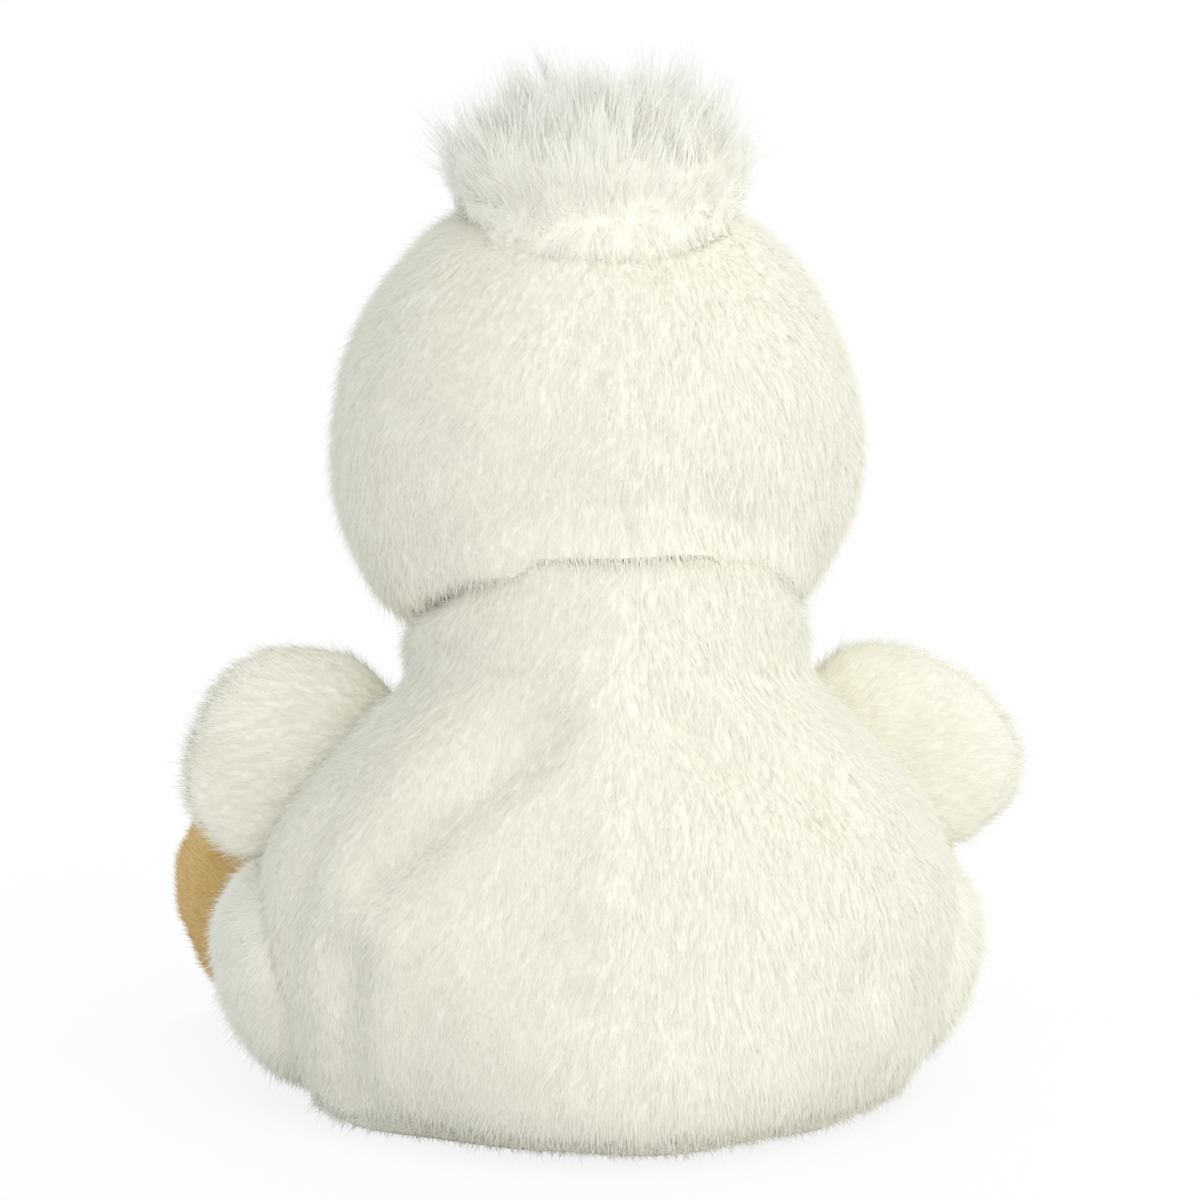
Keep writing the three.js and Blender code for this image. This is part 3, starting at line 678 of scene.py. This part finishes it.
# Filling. Loose polyester fibre is packed into every part of the toy, so each lump takes the shape of its
# cover from inside, a little smaller and uneven.
FIBRE_GRAIN = 420.0
FIBRE_ROOM = 0.7 * MM
fibre_finish = cloth_finish("loose_fibre", dark=(0.80, 0.80, 0.78), light=(0.93, 0.93, 0.91),
                            grain=FIBRE_GRAIN)


def packed_fibre(node, body, seed):
    """A lump of fibre in the place of a filling."""
    lump = solids(node.replace("stuffing", "fibre"), node)
    evened(lump, voxel=2.0, rounds=3)
    place(lump.data, places(lump.data) - facing(lump.data) * FIBRE_ROOM)
    uneven(lump, amount=0.3, wave=5, seed=seed)
    lump.data.shade_smooth()
    lump.data.materials.append(fibre_finish)
    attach(lump, body)
    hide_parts(node)


packed_fibre("body_stuffing", "body", seed=101)
packed_fibre("head_stuffing", "head", seed=102)
packed_fibre("bill_stuffing", "bill", seed=103)
for side in SIDES:
    for part in ("wing", "leg", "foot"):
        packed_fibre(f"{part}_stuffing_{side}", f"{part}_{side}", seed=104)

# Bean pouch. A bag of plain woven cotton, filled with plastic pellets, weighs down the seat. It is a
# round-edged pillow that wrinkles where the pellets leave it slack.
WEAVE = 2 * math.pi / (0.55 * MM)
WEAVE_HEIGHT = 0.2 * MM
POUCH_CLOTH = 0.5 * MM
POUCH_ROOM = 0.4 * MM
POUCH_SEAM = 3 * MM
cotton, shader, tree = new_finish("pouch_cotton", roughness=0.9)
where = tree.node("ShaderNodeTexCoord", {}, {}, out="Object")
warp = tree.node("ShaderNodeSeparateXYZ", {}, {0: where}, out="X")
weft = tree.node("ShaderNodeSeparateXYZ", {}, {0: where}, out="Y")
over = tree.node("ShaderNodeMath", {"operation": "SINE"}, {0: warp * WEAVE})
under = tree.node("ShaderNodeMath", {"operation": "SINE"}, {0: weft * WEAVE})
weave = over * under * 0.5 + 0.5
feed(shader, "Base Color", weave.blend((0.66, 0.60, 0.50, 1), (0.80, 0.75, 0.65, 1)))
raised = tree.node("ShaderNodeBump", {}, {"Strength": 0.4, "Distance": WEAVE_HEIGHT, "Height": weave})
feed(shader, "Normal", raised)
pouch = solids("pouch_bag", "bean_pouch", "bean_charge")
evened(pouch, voxel=1.8, rounds=2)
swollen(pouch, lambda at: at[:, 2] < POUCH_SEAM, limit=0.4)
uneven(pouch, amount=0.25, wave=7, seed=111)
place(pouch.data, places(pouch.data) - facing(pouch.data) * POUCH_ROOM)
pouch.data.shade_smooth()
wall = pouch.modifiers.new("cloth", "SOLIDIFY")
wall.thickness = POUCH_CLOTH
wall.offset = -1
applied(pouch)
pouch.data.materials.append(cotton)
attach(pouch, "body")
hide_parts("bean_pouch")

# Pellets. Smooth grains of pale plastic, a little flattened, are poured into the pouch. One grain is repeated
# at places that are set close together and moved a little by chance.
PELLET = 1.35 * MM
PELLET_STEP = 3.1 * MM
PELLET_PLAY = 0.15 * MM
PELLET_FLAT = 0.85
pellet_finish, shader, tree = new_finish("pellets", roughness=0.35)
milky = clouded(tree, scale=300.0)
feed(shader, "Base Color", milky.blend((0.62, 0.62, 0.60, 1), (0.78, 0.78, 0.76, 1)))
low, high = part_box("bean_charge")
draw = np.random.default_rng(121)
rows = [np.arange(low[axis] + PELLET, high[axis], PELLET_STEP) for axis in range(3)]
lattice = np.stack(np.meshgrid(*rows), -1).reshape(-1, 3)
lattice = lattice + draw.uniform(-PELLET_PLAY, PELLET_PLAY, lattice.shape)
bead = bmesh.new()
flattened = Matrix.Diagonal((1, 1, PELLET_FLAT, 1))
bmesh.ops.create_uvsphere(bead, u_segments=8, v_segments=5, radius=1, matrix=flattened)
bead = new_piece("bead", bead)
heap = bmesh.new()
for point in lattice[inside(lattice, "bean_charge")]:
    heap.verts.new(point)
heap = new_piece("heap", heap)
pellets = scattered(heap, "pellets", bead, PELLET, density=0, seed=0)
bpy.data.objects.remove(heap)
bpy.data.objects.remove(bead)
pellets.data.shade_smooth()
pellets.data.materials.append(pellet_finish)
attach(pellets, "body")
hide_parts("bean_charge")

# Neck thread. The head is closed on the neck with one round of strong two-ply thread, drawn tight into the
# pile so that it only holds and doesn't show.
THREAD = 0.45 * MM
THREAD_TURNS = 70
THREAD_STEPS = 280
THREAD_GRAIN = 2500.0
PLY_DEPTH = 0.28
DRAWN_IN = 1.0 * MM
thread_finish = cloth_finish("thread", dark=(0.72, 0.68, 0.58), light=(0.88, 0.85, 0.76), grain=THREAD_GRAIN)
ring_points = places(frame["nodes"]["neck_thread"].data)
ring_middle = Vector(ring_points.mean(0))
off_axis = np.linalg.norm(np.cross(ring_points - np.array(ring_middle), np.array(neck_axis)), axis=1)
ring_radius = (off_axis.max() + off_axis.min()) / 2 - DRAWN_IN


def stood(shape, at, way):
    """Turns a shape that was made round the upright axis along a way, and moves it to its place."""
    turned = Vector((0, 0, 1)).rotation_difference(way).to_matrix().to_4x4()
    bmesh.ops.transform(shape, matrix=Matrix.Translation(at) @ turned, verts=shape.verts)


ring = bmesh.new()
upright = Matrix.Translation((ring_radius, 0, 0)) @ Matrix.Rotation(math.pi / 2, 4, "X")
bmesh.ops.create_circle(ring, segments=10, radius=THREAD, matrix=upright)
bmesh.ops.spin(ring, geom=ring.edges[:], cent=(0, 0, 0), axis=(0, 0, 1), angle=2 * math.pi,
               steps=THREAD_STEPS, use_merge=True)
bmesh.ops.recalc_face_normals(ring, faces=ring.faces)
for vertex in ring.verts:
    round_ring = math.atan2(vertex.co.y, vertex.co.x)
    middle = Vector((math.cos(round_ring), math.sin(round_ring), 0)) * ring_radius
    arm = vertex.co - middle
    turn = math.atan2(arm.z, arm.dot(middle))
    vertex.co = middle + arm * (1 - PLY_DEPTH + PLY_DEPTH * abs(math.cos(turn + THREAD_TURNS * round_ring)))
stood(ring, ring_middle, neck_axis)
thread = new_piece("thread_ring", ring)
thread.data.shade_smooth()
thread.data.materials.append(thread_finish)
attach(thread, "neck")
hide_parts("neck_thread")

# Head cover. A left and a right panel of the same plush meet on the middle line, round the crest, the eyes
# and the bill. The head is stuffed into a tall ball and sits on the neck.
head_form = solids("head_form", "head_panel_left", "head_panel_right", "head_stuffing", "eye_washer_left",
                   "eye_washer_right")
evened(head_form, voxel=2.6, rounds=4)
crest_low, crest_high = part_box("crest_patch")
crest_middle = (crest_low + crest_high) / 2
CREST_RADIUS = 15 * MM
CREST_OVERLAP = 2.5 * MM
crown = (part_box("head_panel_left")[0].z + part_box("head_panel_left")[1].z) / 2
NECK_SEAT = 24 * MM
SEAT_PILE = 4 * MM
SEAT_LENGTH = 1.0
SEAT_LEAN = 21
EYE_BARE = 4.6 * MM


def above_seat(points):
    """How far each point lies outside the round seat on the neck."""
    return np.linalg.norm(points - np.array(neck_middle), axis=1) - NECK_SEAT


def in_seat(points):
    """Which points lie where the head is open to the neck."""
    return above_seat(points) < 0


def head_seams(points):
    """Which points the seams of the head hold."""
    return (np.abs(points[:, 0]) < SEAM_HALF) | in_seat(points)


swollen(head_form, head_seams, limit=0.6)
closed_head = head_form
head_form = panel(closed_head, "open_head_form", [], in_seat)
bpy.data.objects.remove(closed_head)
CHEEK_HOLLOW = [(-27, -3, 60)]
NAPE_HEIGHTS = (6, 8, 11, 13, 15, 18, 22, 26, 27)
NAPE_REACHES = (0, 25, 25.3, 25.6, 25.9, 26.3, 26.7, 27, 0)
flush(head_form, NAPE_HEIGHTS, NAPE_REACHES)
uneven(head_form, amount=0.25, wave=18, seed=5)
filled(head_form, CHEEK_HOLLOW, height=-1.4, width=7)
eye_axis = {}
eye_front = {}
for side in SIDES:
    eye_points = places(frame["nodes"]["eye_" + side].data)
    washer_middle = places(frame["nodes"]["eye_washer_" + side].data).mean(0)
    way = unit(eye_points.mean(0) - washer_middle)
    reach = (eye_points - washer_middle) @ way
    eye_axis[side] = Vector(way)
    eye_front[side] = Vector(washer_middle + way * reach.max())


def off_crest(points):
    """How far each point lies from the middle of the crest, seen from above."""
    return np.hypot(points[:, 0] - crest_middle.x, points[:, 1] - crest_middle.y)


def under_crest(points):
    """Which points of the head the crest covers."""
    return (points[:, 2] > crown) & (off_crest(points) < CREST_RADIUS - CREST_OVERLAP)


def open_head(points):
    """The pile stops under the bill, the eyes and inside the neck."""
    covered = inside(points, "bill_stuffing") | in_seat(points) | under_crest(points)
    for side in SIDES:
        covered |= np.linalg.norm(points - np.array(eye_front[side]), axis=1) < EYE_BARE
    return 1.0 - covered


def near_seat(points):
    """One beside the neck seam, less further up, then nothing."""
    return np.clip(2 - above_seat(points) / SEAT_PILE, 0, 1)


def head_length(points):
    """The pile is left longer where it covers the neck seam."""
    return PLUSH_LENGTH + SEAT_LENGTH * near_seat(points)


def head_lean(points):
    """The pile lies flatter over the neck seam."""
    return PLUSH_LEAN + SEAT_LEAN * near_seat(points)


for side in SIDES:
    cover = panel(head_form, "head_" + side, [across[side]])
    plush(cover, "head", "head_panel_" + side, downwards, seed=21 + SIDES[side], where=open_head,
          lean=head_lean, length=head_length)

# Crest. A round patch of much longer pile is sewn into the crown. The pile stands up in the middle, fans out
# over the edge and gathers into thin wisps.
long_strand = strand("long_strand", 1)
# The root colour, a little darker than the tip's, is painted shade at the strands' roots.
crest_look = pile_finish("crest_pile", root=(0.945, 0.925, 0.835), tip=(0.96, 0.945, 0.875),
                         pale=(0.97, 0.96, 0.91))
crest_form = solids("crest_form", "crest_patch")
evened(crest_form, voxel=1.6, rounds=4)
CREST_STEM = crest_high.z - 15 * MM
STEM_HEIGHT = 4 * MM
STEM_NARROWER = 0.10
STEM_FLATTER = 0.06
CREST_PRESSED = 0.72
EDGE_HEIGHT = 6 * MM
EDGE_SPREAD = 4 * MM
EDGE_SUNK = 1.4 * MM
EDGE_AT_SIDES = 0.25
CREST_DENSITY = 8.5
CREST_WIDTH = 0.15
CREST_TUFTS = 240
CREST_SHEEN = 0.7
WISP_LENGTH = 2.1
WISP_LEAN = 0.6
crown_cloth = surface(head_form.data)


def head_height(points):
    """How high the head's cloth lies below each point."""
    return np.array([crown_cloth.ray_cast((x, y, 1.0), (0, 0, -1))[0].z for x, y, _ in points])


def off_head(points):
    """How far each point lies above the head's cloth."""
    return points[:, 2] - head_height(points)


points = places(crest_form.data)
arm = (points - np.array(crest_middle)) * (1, 1, 0)
fore = np.abs(arm[:, 1]) / np.maximum(np.linalg.norm(arm, axis=1), 0.1 * MM)
high = np.clip((points[:, 2] - CREST_STEM) / STEM_HEIGHT, 0, 1)
points -= arm * ((STEM_NARROWER + STEM_FLATTER * fore) * high)[:, None]
points[:, 2] = np.minimum(points[:, 2], CREST_STEM + (points[:, 2] - CREST_STEM) * CREST_PRESSED)
clear = off_head(points)
edge = np.clip(1 - clear / EDGE_HEIGHT, 0, 1) ** 2 * (EDGE_AT_SIDES + (1 - EDGE_AT_SIDES) * fore ** 2)
points += unit(arm) * (edge * EDGE_SPREAD)[:, None]
points[:, 2] = np.where(edge > 0, head_height(points) + clear - edge * EDGE_SUNK, points[:, 2])
place(crest_form.data, points)
uneven(crest_form, amount=0.4, wave=9, seed=27)
CROWN_RISE = 1.5 * MM
CROWN_REACH = CREST_RADIUS - 3 * MM
PILE_START = -0.4 * MM
crown_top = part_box("head_stuffing")[1].z + CROWN_RISE
PARTING = (1.5 * MM, 4 * MM)
PARTING_SPREAD = 1.2 * MM
FAN = 0.35


def fanned(points):
    """The long pile is brushed up and a little outwards, and lies down over its sewn edge."""
    mixed = off_head(points) + np.random.default_rng(31).normal(0, PARTING_SPREAD, len(points))
    up = np.interp(mixed, PARTING, (-1, 1))[:, None]
    return unit((points - np.array(crest_middle)) * (1, 1, 0)) * FAN + np.array((0, 0, 1)) * up


def crest_lean(points):
    """The pile lies against the sides and stands upright on top."""
    lean = np.interp(points[:, 2], crest_high.z - np.array((13, 9, 5)) * MM, (54, 38, 14))
    return np.maximum(lean, np.interp(off_head(points), np.array((0.5, 5)) * MM, (75, 50)))


def crest_length(points):
    """The pile grows longer from the sewn edge to the top."""
    return np.interp(off_head(points), np.array((0, 4, 8)) * MM, (2.6, 3.4, 4.4))


def wisps(points):
    """Share of long loose hairs: none at the sewn edge, most on top."""
    return np.interp(points[:, 2], crest_high.z - np.array((14, 10, 5)) * MM, (0, 0.2, 0.3))


def on_crown(points):
    """Which points lie on the patch's open underside."""
    return (points[:, 2] < crown_top) & (off_crest(points) < CROWN_REACH)


def above_head(points):
    """The pile stops where the patch's edge is sunk into the head."""
    return off_head(points) > PILE_START


crest = panel(crest_form, "crest", [], on_crown)
crest.data.materials.append(white_cloth)
tuft = pile_on(crest, long_strand, crest_look, CREST_DENSITY, crest_length, CREST_WIDTH, crest_lean, fanned,
               seed=29, where=above_head, stray=(wisps, WISP_LENGTH, WISP_LEAN), tufts=CREST_TUFTS,
               sheen=CREST_SHEEN)
finished(crest, tuft, "head", "crest_patch")
bpy.data.objects.remove(crest_form)
bpy.data.objects.remove(head_form)
bpy.data.objects.remove(long_strand)

# Eyes. Two glossy black domes of moulded plastic sit on the cloth. Each has a shank that goes through it, and
# a washer pressed on from inside holds it.
EYE_RADIUS = 3.8 * MM
EYE_RIM = 0.6 * MM
EYE_DOME = 2.2 * MM
EYE_SHANK = 1.5 * MM
SHANK_POINT = 0.4 * MM
DOME_STEPS = 12
EYE_STEPS = 40
eye_finish, shader, tree = new_finish("eye_plastic", roughness=0.12)
feed(shader, "Roughness", clouded(tree, scale=700.0) * 0.08 + 0.05)
shader.inputs["Base Color"].default_value = (0.012, 0.011, 0.010, 1)
shader.inputs["Specular IOR Level"].default_value = 0.4
washer_finish, shader, tree = new_finish("washer_plastic", roughness=0.4)
milky = clouded(tree, scale=500.0)
feed(shader, "Base Color", milky.blend((0.74, 0.74, 0.72, 1), (0.82, 0.82, 0.80, 1)))
for side in SIDES:
    eye_shape = bmesh.new()
    eye_points = places(frame["nodes"]["eye_" + side].data)
    low = ((eye_points - np.array(eye_front[side])) @ np.array(eye_axis[side])).min()
    profile = [(0, low), (EYE_SHANK * 0.8, low), (EYE_SHANK, low + SHANK_POINT),
               (EYE_SHANK, -EYE_DOME - EYE_RIM), (EYE_RADIUS * 0.94, -EYE_DOME - EYE_RIM)]
    for step in range(DOME_STEPS + 1):
        turn = math.pi / 2 * step / DOME_STEPS
        profile.append((EYE_RADIUS * math.cos(turn), -EYE_DOME + EYE_DOME * math.sin(turn)))
    outline = [eye_shape.verts.new((reach, 0, height)) for reach, height in profile]
    for start, end in zip(outline[:-1], outline[1:]):
        eye_shape.edges.new((start, end))
    bmesh.ops.spin(eye_shape, geom=eye_shape.verts[:] + eye_shape.edges[:], cent=(0, 0, 0), axis=(0, 0, 1),
                   angle=2 * math.pi, steps=EYE_STEPS, use_merge=True)
    bmesh.ops.remove_doubles(eye_shape, verts=eye_shape.verts, dist=0.001 * MM)
    bmesh.ops.recalc_face_normals(eye_shape, faces=eye_shape.faces)
    stood(eye_shape, eye_front[side], eye_axis[side])
    eye = new_piece("eye_dome_" + side, eye_shape)
    eye.data.shade_smooth()
    eye.data.materials.append(eye_finish)
    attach(eye, "head")
    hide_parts("eye_" + side)
    frame["nodes"]["eye_washer_" + side].material_slots[0].material = washer_finish

# Bill. An upper panel of orange plush and a deeper golden pouch under it are sewn together along the mouth
# line and stuffed lightly. The bill hangs from the face.
BILL_DROOP = math.radians(26)
bill_root = Vector(joints["bill_tip"]["pos_m"])
bill_way = Vector((0, -math.cos(BILL_DROOP), -math.sin(BILL_DROOP)))
bill_up = Vector((0, -math.sin(BILL_DROOP), math.cos(BILL_DROOP)))
SHORT_LENGTH = 1.5
SHORT_WIDTH = 0.2
SHORT_DENSITY = 12.0
SHORT_LEAN = 50
MOUTH_SEAM = 0.9 * MM
# Each pile's root colour is darker than its tip's: painted shade at the strands' roots.
orange_pile = pile_finish("orange_pile", root=(0.72, 0.48, 0.18), tip=(0.88, 0.65, 0.30),
                          pale=(0.94, 0.84, 0.56))
orange_cloth = cloth_finish("orange_ground", dark=(0.64, 0.41, 0.14), light=(0.80, 0.56, 0.23),
                            grain=PLUSH_GRAIN)
gold_pile = pile_finish("gold_pile", root=(0.78, 0.57, 0.24), tip=(0.88, 0.71, 0.36), pale=(0.93, 0.83, 0.55))
gold_cloth = cloth_finish("gold_ground", dark=(0.74, 0.53, 0.22), light=(0.85, 0.67, 0.32), grain=PLUSH_GRAIN)


def short_plush(cover, cloth, pile_look, body, node, nap, seed, where=None):
    """Finishes a panel of short coloured plush."""
    cover.data.materials.append(cloth)
    pile = pile_on(cover, short_strand, pile_look, SHORT_DENSITY, SHORT_LENGTH, SHORT_WIDTH, SHORT_LEAN, nap,
                   seed, where)
    finished(cover, pile, body, node)


bill_form = solids("bill_form", "bill_upper", "bill_pouch", "bill_stuffing")
evened(bill_form, voxel=1.7, rounds=3)
swollen(bill_form, lambda at: np.abs((at - np.array(bill_root)) @ np.array(bill_up)) < MOUTH_SEAM, limit=0.6)


def open_bill(points):
    """The pile stops inside the head."""
    return 1.0 - inside(points, "head_stuffing")


for name, way, cloth, look, slot in (("bill_upper", 1, orange_cloth, orange_pile, "plush_orange"),
                                     ("bill_pouch", -1, gold_cloth, gold_pile, "plush_gold")):
    cover = panel(bill_form, name + "_cover", [(bill_root, bill_up * way)])
    short_plush(cover, cloth, look, "bill", name, combed(bill_way), seed=51 + way, where=open_bill)
bpy.data.objects.remove(bill_form)

# Wings. Each is a half-oval flap of two plush panels round a little filling, sewn to the flank along its
# straight side.
ROOT_REACH = 4
WING_SEAM = 1.0 * MM
WING_FILLING = {
    "left": [([(43, -4, 52)], 1.5, 6)],
    "right": [([(-49, -4, 36)], 1.6, 6), ([(-33, -4, 55), (-42, -4, 52)], -1.0, 5)],
}


def rooted(form, way, reach):
    """Lets a form reach some way into the part that it is sewn to."""
    shape = bmesh.new()
    shape.from_mesh(form.data)
    copy = bmesh.ops.duplicate(shape, geom=shape.verts[:] + shape.edges[:] + shape.faces[:])["geom"]
    moved = [part for part in copy if isinstance(part, bmesh.types.BMVert)]
    bmesh.ops.translate(shape, verts=moved, vec=Vector(way).normalized() * reach * MM)
    shape.to_mesh(form.data)
    shape.free()


def in_body(points):
    """Which points lie inside the body's filling."""
    return inside(points, "body_stuffing")


def off_body(points):
    """The pile stops inside the body."""
    return 1.0 - in_body(points)


for side, sign in SIDES.items():
    wing_form = solids("wing_form", "wing_front_" + side, "wing_back_" + side, "wing_stuffing_" + side)
    rooted(wing_form, (-sign, 0, -1), ROOT_REACH)
    evened(wing_form, voxel=1.9, rounds=3)
    wing_seam = (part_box("wing_front_" + side)[1].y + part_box("wing_back_" + side)[0].y) / 2
    swollen(wing_form, lambda at: np.abs(at[:, 1] - wing_seam) < WING_SEAM, limit=0.8)
    uneven(wing_form, amount=0.2, wave=12, seed=7)
    for line, height, width in WING_FILLING[side]:
        filled(wing_form, line, height, width)
    outwards = combed((sign * 0.7, 0, 0.2))
    for face, way in (("front", -1), ("back", 1)):
        cut = (Vector((0, wing_seam, 0)), Vector((0, way, 0)))
        cover = panel(wing_form, f"wing_{face}_{side}_cover", [cut], in_body)
        plush(cover, "wing_" + side, f"wing_{face}_{side}", outwards, seed=31 + way + 5 * sign,
              where=off_body)
    bpy.data.objects.remove(wing_form)

# Legs. Each is a short sleeve of the body's plush, stuffed and sewn into the side of the body, so that it
# lies forward on the ground. The right one is filled a little less.
LEG_NAP = (0.0, -0.6, -0.8)
RIGHT_HOLLOW = [(-46, 2, 13), (-43, 2, 6)]
for side, sign in SIDES.items():
    leg_form = solids("leg_form", "leg_sleeve_" + side, "leg_stuffing_" + side)
    rooted(leg_form, (-sign, 0.3, 0), ROOT_REACH)
    evened(leg_form, voxel=2.2, rounds=3)
    swollen(leg_form, in_body, limit=0.6)
    uneven(leg_form, amount=0.2, wave=12, seed=9)
    if side == "right":
        filled(leg_form, RIGHT_HOLLOW, height=-1.8, width=9)
    seated(leg_form)
    cover = panel(leg_form, f"leg_{side}_cover", [], in_body)
    plush(cover, "leg_" + side, "leg_sleeve_" + side, combed(LEG_NAP), seed=41 + sign, where=off_body)
    bpy.data.objects.remove(leg_form)

# Feet. Each is a webbed pillow of short orange plush, a sole and a top panel sewn round the edge, with two
# stitched lines that draw in between the three toes.
FOOT_SPLAY = 40
TOE_HALF = 30
TOE_START = 2
TOE_FOLD = 6.5
FOOT_SEAM = 0.9 * MM


def toe_way(sign, turn):
    """The way from the heel to the toes, turned outwards by some degrees."""
    return Vector((sign * math.sin(math.radians(turn)), 0, math.cos(math.radians(turn))))


for side, sign in SIDES.items():
    foot_form = solids("foot_form", "foot_sole_" + side, "foot_top_" + side, "foot_stuffing_" + side)
    evened(foot_form, voxel=1.6, rounds=3)
    foot_seam = (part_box("foot_sole_" + side)[1].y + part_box("foot_top_" + side)[0].y) / 2
    swollen(foot_form, lambda at: np.abs(at[:, 1] - foot_seam) < FOOT_SEAM, limit=0.6)
    low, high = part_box("foot_stuffing_" + side)
    middle = (low + high) / 2 / MM
    reach = (high.z - low.z) / 2 / MM
    outer_edge = (sign * 48, -42.8, 20)
    filled(foot_form, [outer_edge], height=1.2, width=8)
    heel = (middle.x + sign * 0.45 * reach, middle.y, middle.z - 0.9 * reach)
    filled(foot_form, [heel], height=3.2, width=8)
    for turn in (FOOT_SPLAY - TOE_HALF, FOOT_SPLAY + TOE_HALF):
        way = toe_way(sign, turn)
        for height in (low.y / MM - 1, high.y / MM + 1):
            start = Vector((middle.x, height, middle.z)) + way * TOE_START
            folded(foot_form, [start, start + way * TOE_FOLD], depth=1.0, width=1.5)
    for face, way in (("sole", -1), ("top", 1)):
        cut = (Vector((0, foot_seam, 0)), Vector((0, way, 0)))
        cover = panel(foot_form, f"foot_{face}_{side}_cover", [cut])
        short_plush(cover, orange_cloth, orange_pile, "foot_" + side, f"foot_{face}_{side}",
                    combed(toe_way(sign, FOOT_SPLAY)), seed=61 + way + 5 * sign)
    bpy.data.objects.remove(foot_form)
bpy.data.objects.remove(short_strand)

# Floor. A plain matt white sheet lies under the toy and keeps its soft shadow. It glows a little where it is
# seen, so that it runs into the white surround.
FLOOR_GLOW = 0.85
FLOOR_SIZE = 3
floor_shape = bmesh.new()
bmesh.ops.create_grid(floor_shape, x_segments=1, y_segments=1, size=FLOOR_SIZE)
floor = new_piece("floor", floor_shape)
floor_finish, shader, tree = new_finish("floor", roughness=1.0)
shader.inputs["Base Color"].default_value = (0.9, 0.9, 0.9, 1)


def seen_directly(tree):
    """One where a ray comes straight from the camera, off gloss or through glass."""
    camera_ray = tree.node("ShaderNodeLightPath", {}, {}, out="Is Camera Ray")
    glossy_ray = tree.node("ShaderNodeLightPath", {}, {}, out="Is Glossy Ray")
    clear_ray = tree.node("ShaderNodeLightPath", {}, {}, out="Is Transmission Ray")
    return tree.node("ShaderNodeMath", {"operation": "MAXIMUM"}, {0: camera_ray, 1: glossy_ray + clear_ray})


white = tree.node("ShaderNodeEmission", {}, {"Color": (1, 1, 1, 1), "Strength": 1.0})
mixed = tree.node("ShaderNodeMixShader", {}, {0: seen_directly(tree) * FLOOR_GLOW,
                                              1: Shade(tree.tree, shader.outputs[0]), 2: white})
feed(floor_finish.node_tree.nodes["Material Output"], "Surface", mixed)
floor.data.materials.append(floor_finish)

# Light. A large soft warm lamp shines on the back from the toy's right, a weaker one shines on its front, and
# a cool white surround fills the shaded side.
SURROUND = 0.81
SURROUND_TINT = (0.91, 0.955, 1.0, 1)
LAMP_SPREAD = 75
world = bpy.data.worlds.new("surround")
bpy.context.scene.world = world
world.use_nodes = True
surround = Shade(world.node_tree)
glow = world.node_tree.nodes["Background"]
glow.inputs["Color"].default_value = SURROUND_TINT
glow.inputs["Strength"].default_value = SURROUND
backdrop = surround.node("ShaderNodeBackground", {}, {"Color": (1, 1, 1, 1), "Strength": 1.0})
shown = surround.node("ShaderNodeMixShader", {}, {0: seen_directly(surround),
                                                  1: Shade(world.node_tree, glow.outputs[0]), 2: backdrop})
feed(world.node_tree.nodes["World Output"], "Surface", shown)


def lamp(name, at, strength, colour):
    """A soft lamp that shines from a place towards the toy."""
    light = bpy.data.lights.new(name, "SUN")
    light.angle = math.radians(LAMP_SPREAD)
    light.energy = strength
    light.color = colour
    stand = bpy.data.objects.new(name, light)
    stand.location = at
    stand.rotation_mode = "QUATERNION"
    stand.rotation_quaternion = (-Vector(at)).to_track_quat("-Z", "Y")
    bpy.context.scene.collection.objects.link(stand)


lamp("key", (-0.42, 0.88, 0.45), strength=1.42, colour=(1.0, 0.97, 0.89))
lamp("fill", (-0.35, -0.9, 0.55), strength=0.9, colour=(1.0, 0.98, 0.94))

# Camera. It stands behind the toy and a little to its left, looks slightly down on it, and is far enough off
# for the perspective to be slight.
AZIMUTH = math.radians(174)
ELEVATION = math.radians(9)
DISTANCE = 0.7
TARGET = Vector((0, 0, 0.058))
PIXELS_PER_M = 8630
FRAME_PIXELS = 1200
FRAME_SHIFT = -3
SENSOR = 36
level = math.cos(ELEVATION)
back = Vector((math.sin(AZIMUTH) * level, -math.cos(AZIMUTH) * level, math.sin(ELEVATION)))
view = bpy.data.cameras.new("camera")
view.sensor_width = SENSOR
view.lens = SENSOR * DISTANCE * PIXELS_PER_M / FRAME_PIXELS
view.shift_x = FRAME_SHIFT / FRAME_PIXELS
camera = bpy.data.objects.new("camera", view)
camera.location = TARGET + back * DISTANCE
camera.rotation_mode = "QUATERNION"
camera.rotation_quaternion = (-back).to_track_quat("-Z", "Y")
bpy.context.scene.collection.objects.link(camera)
bpy.context.scene.camera = camera
bpy.context.scene.view_settings.view_transform = "Standard"
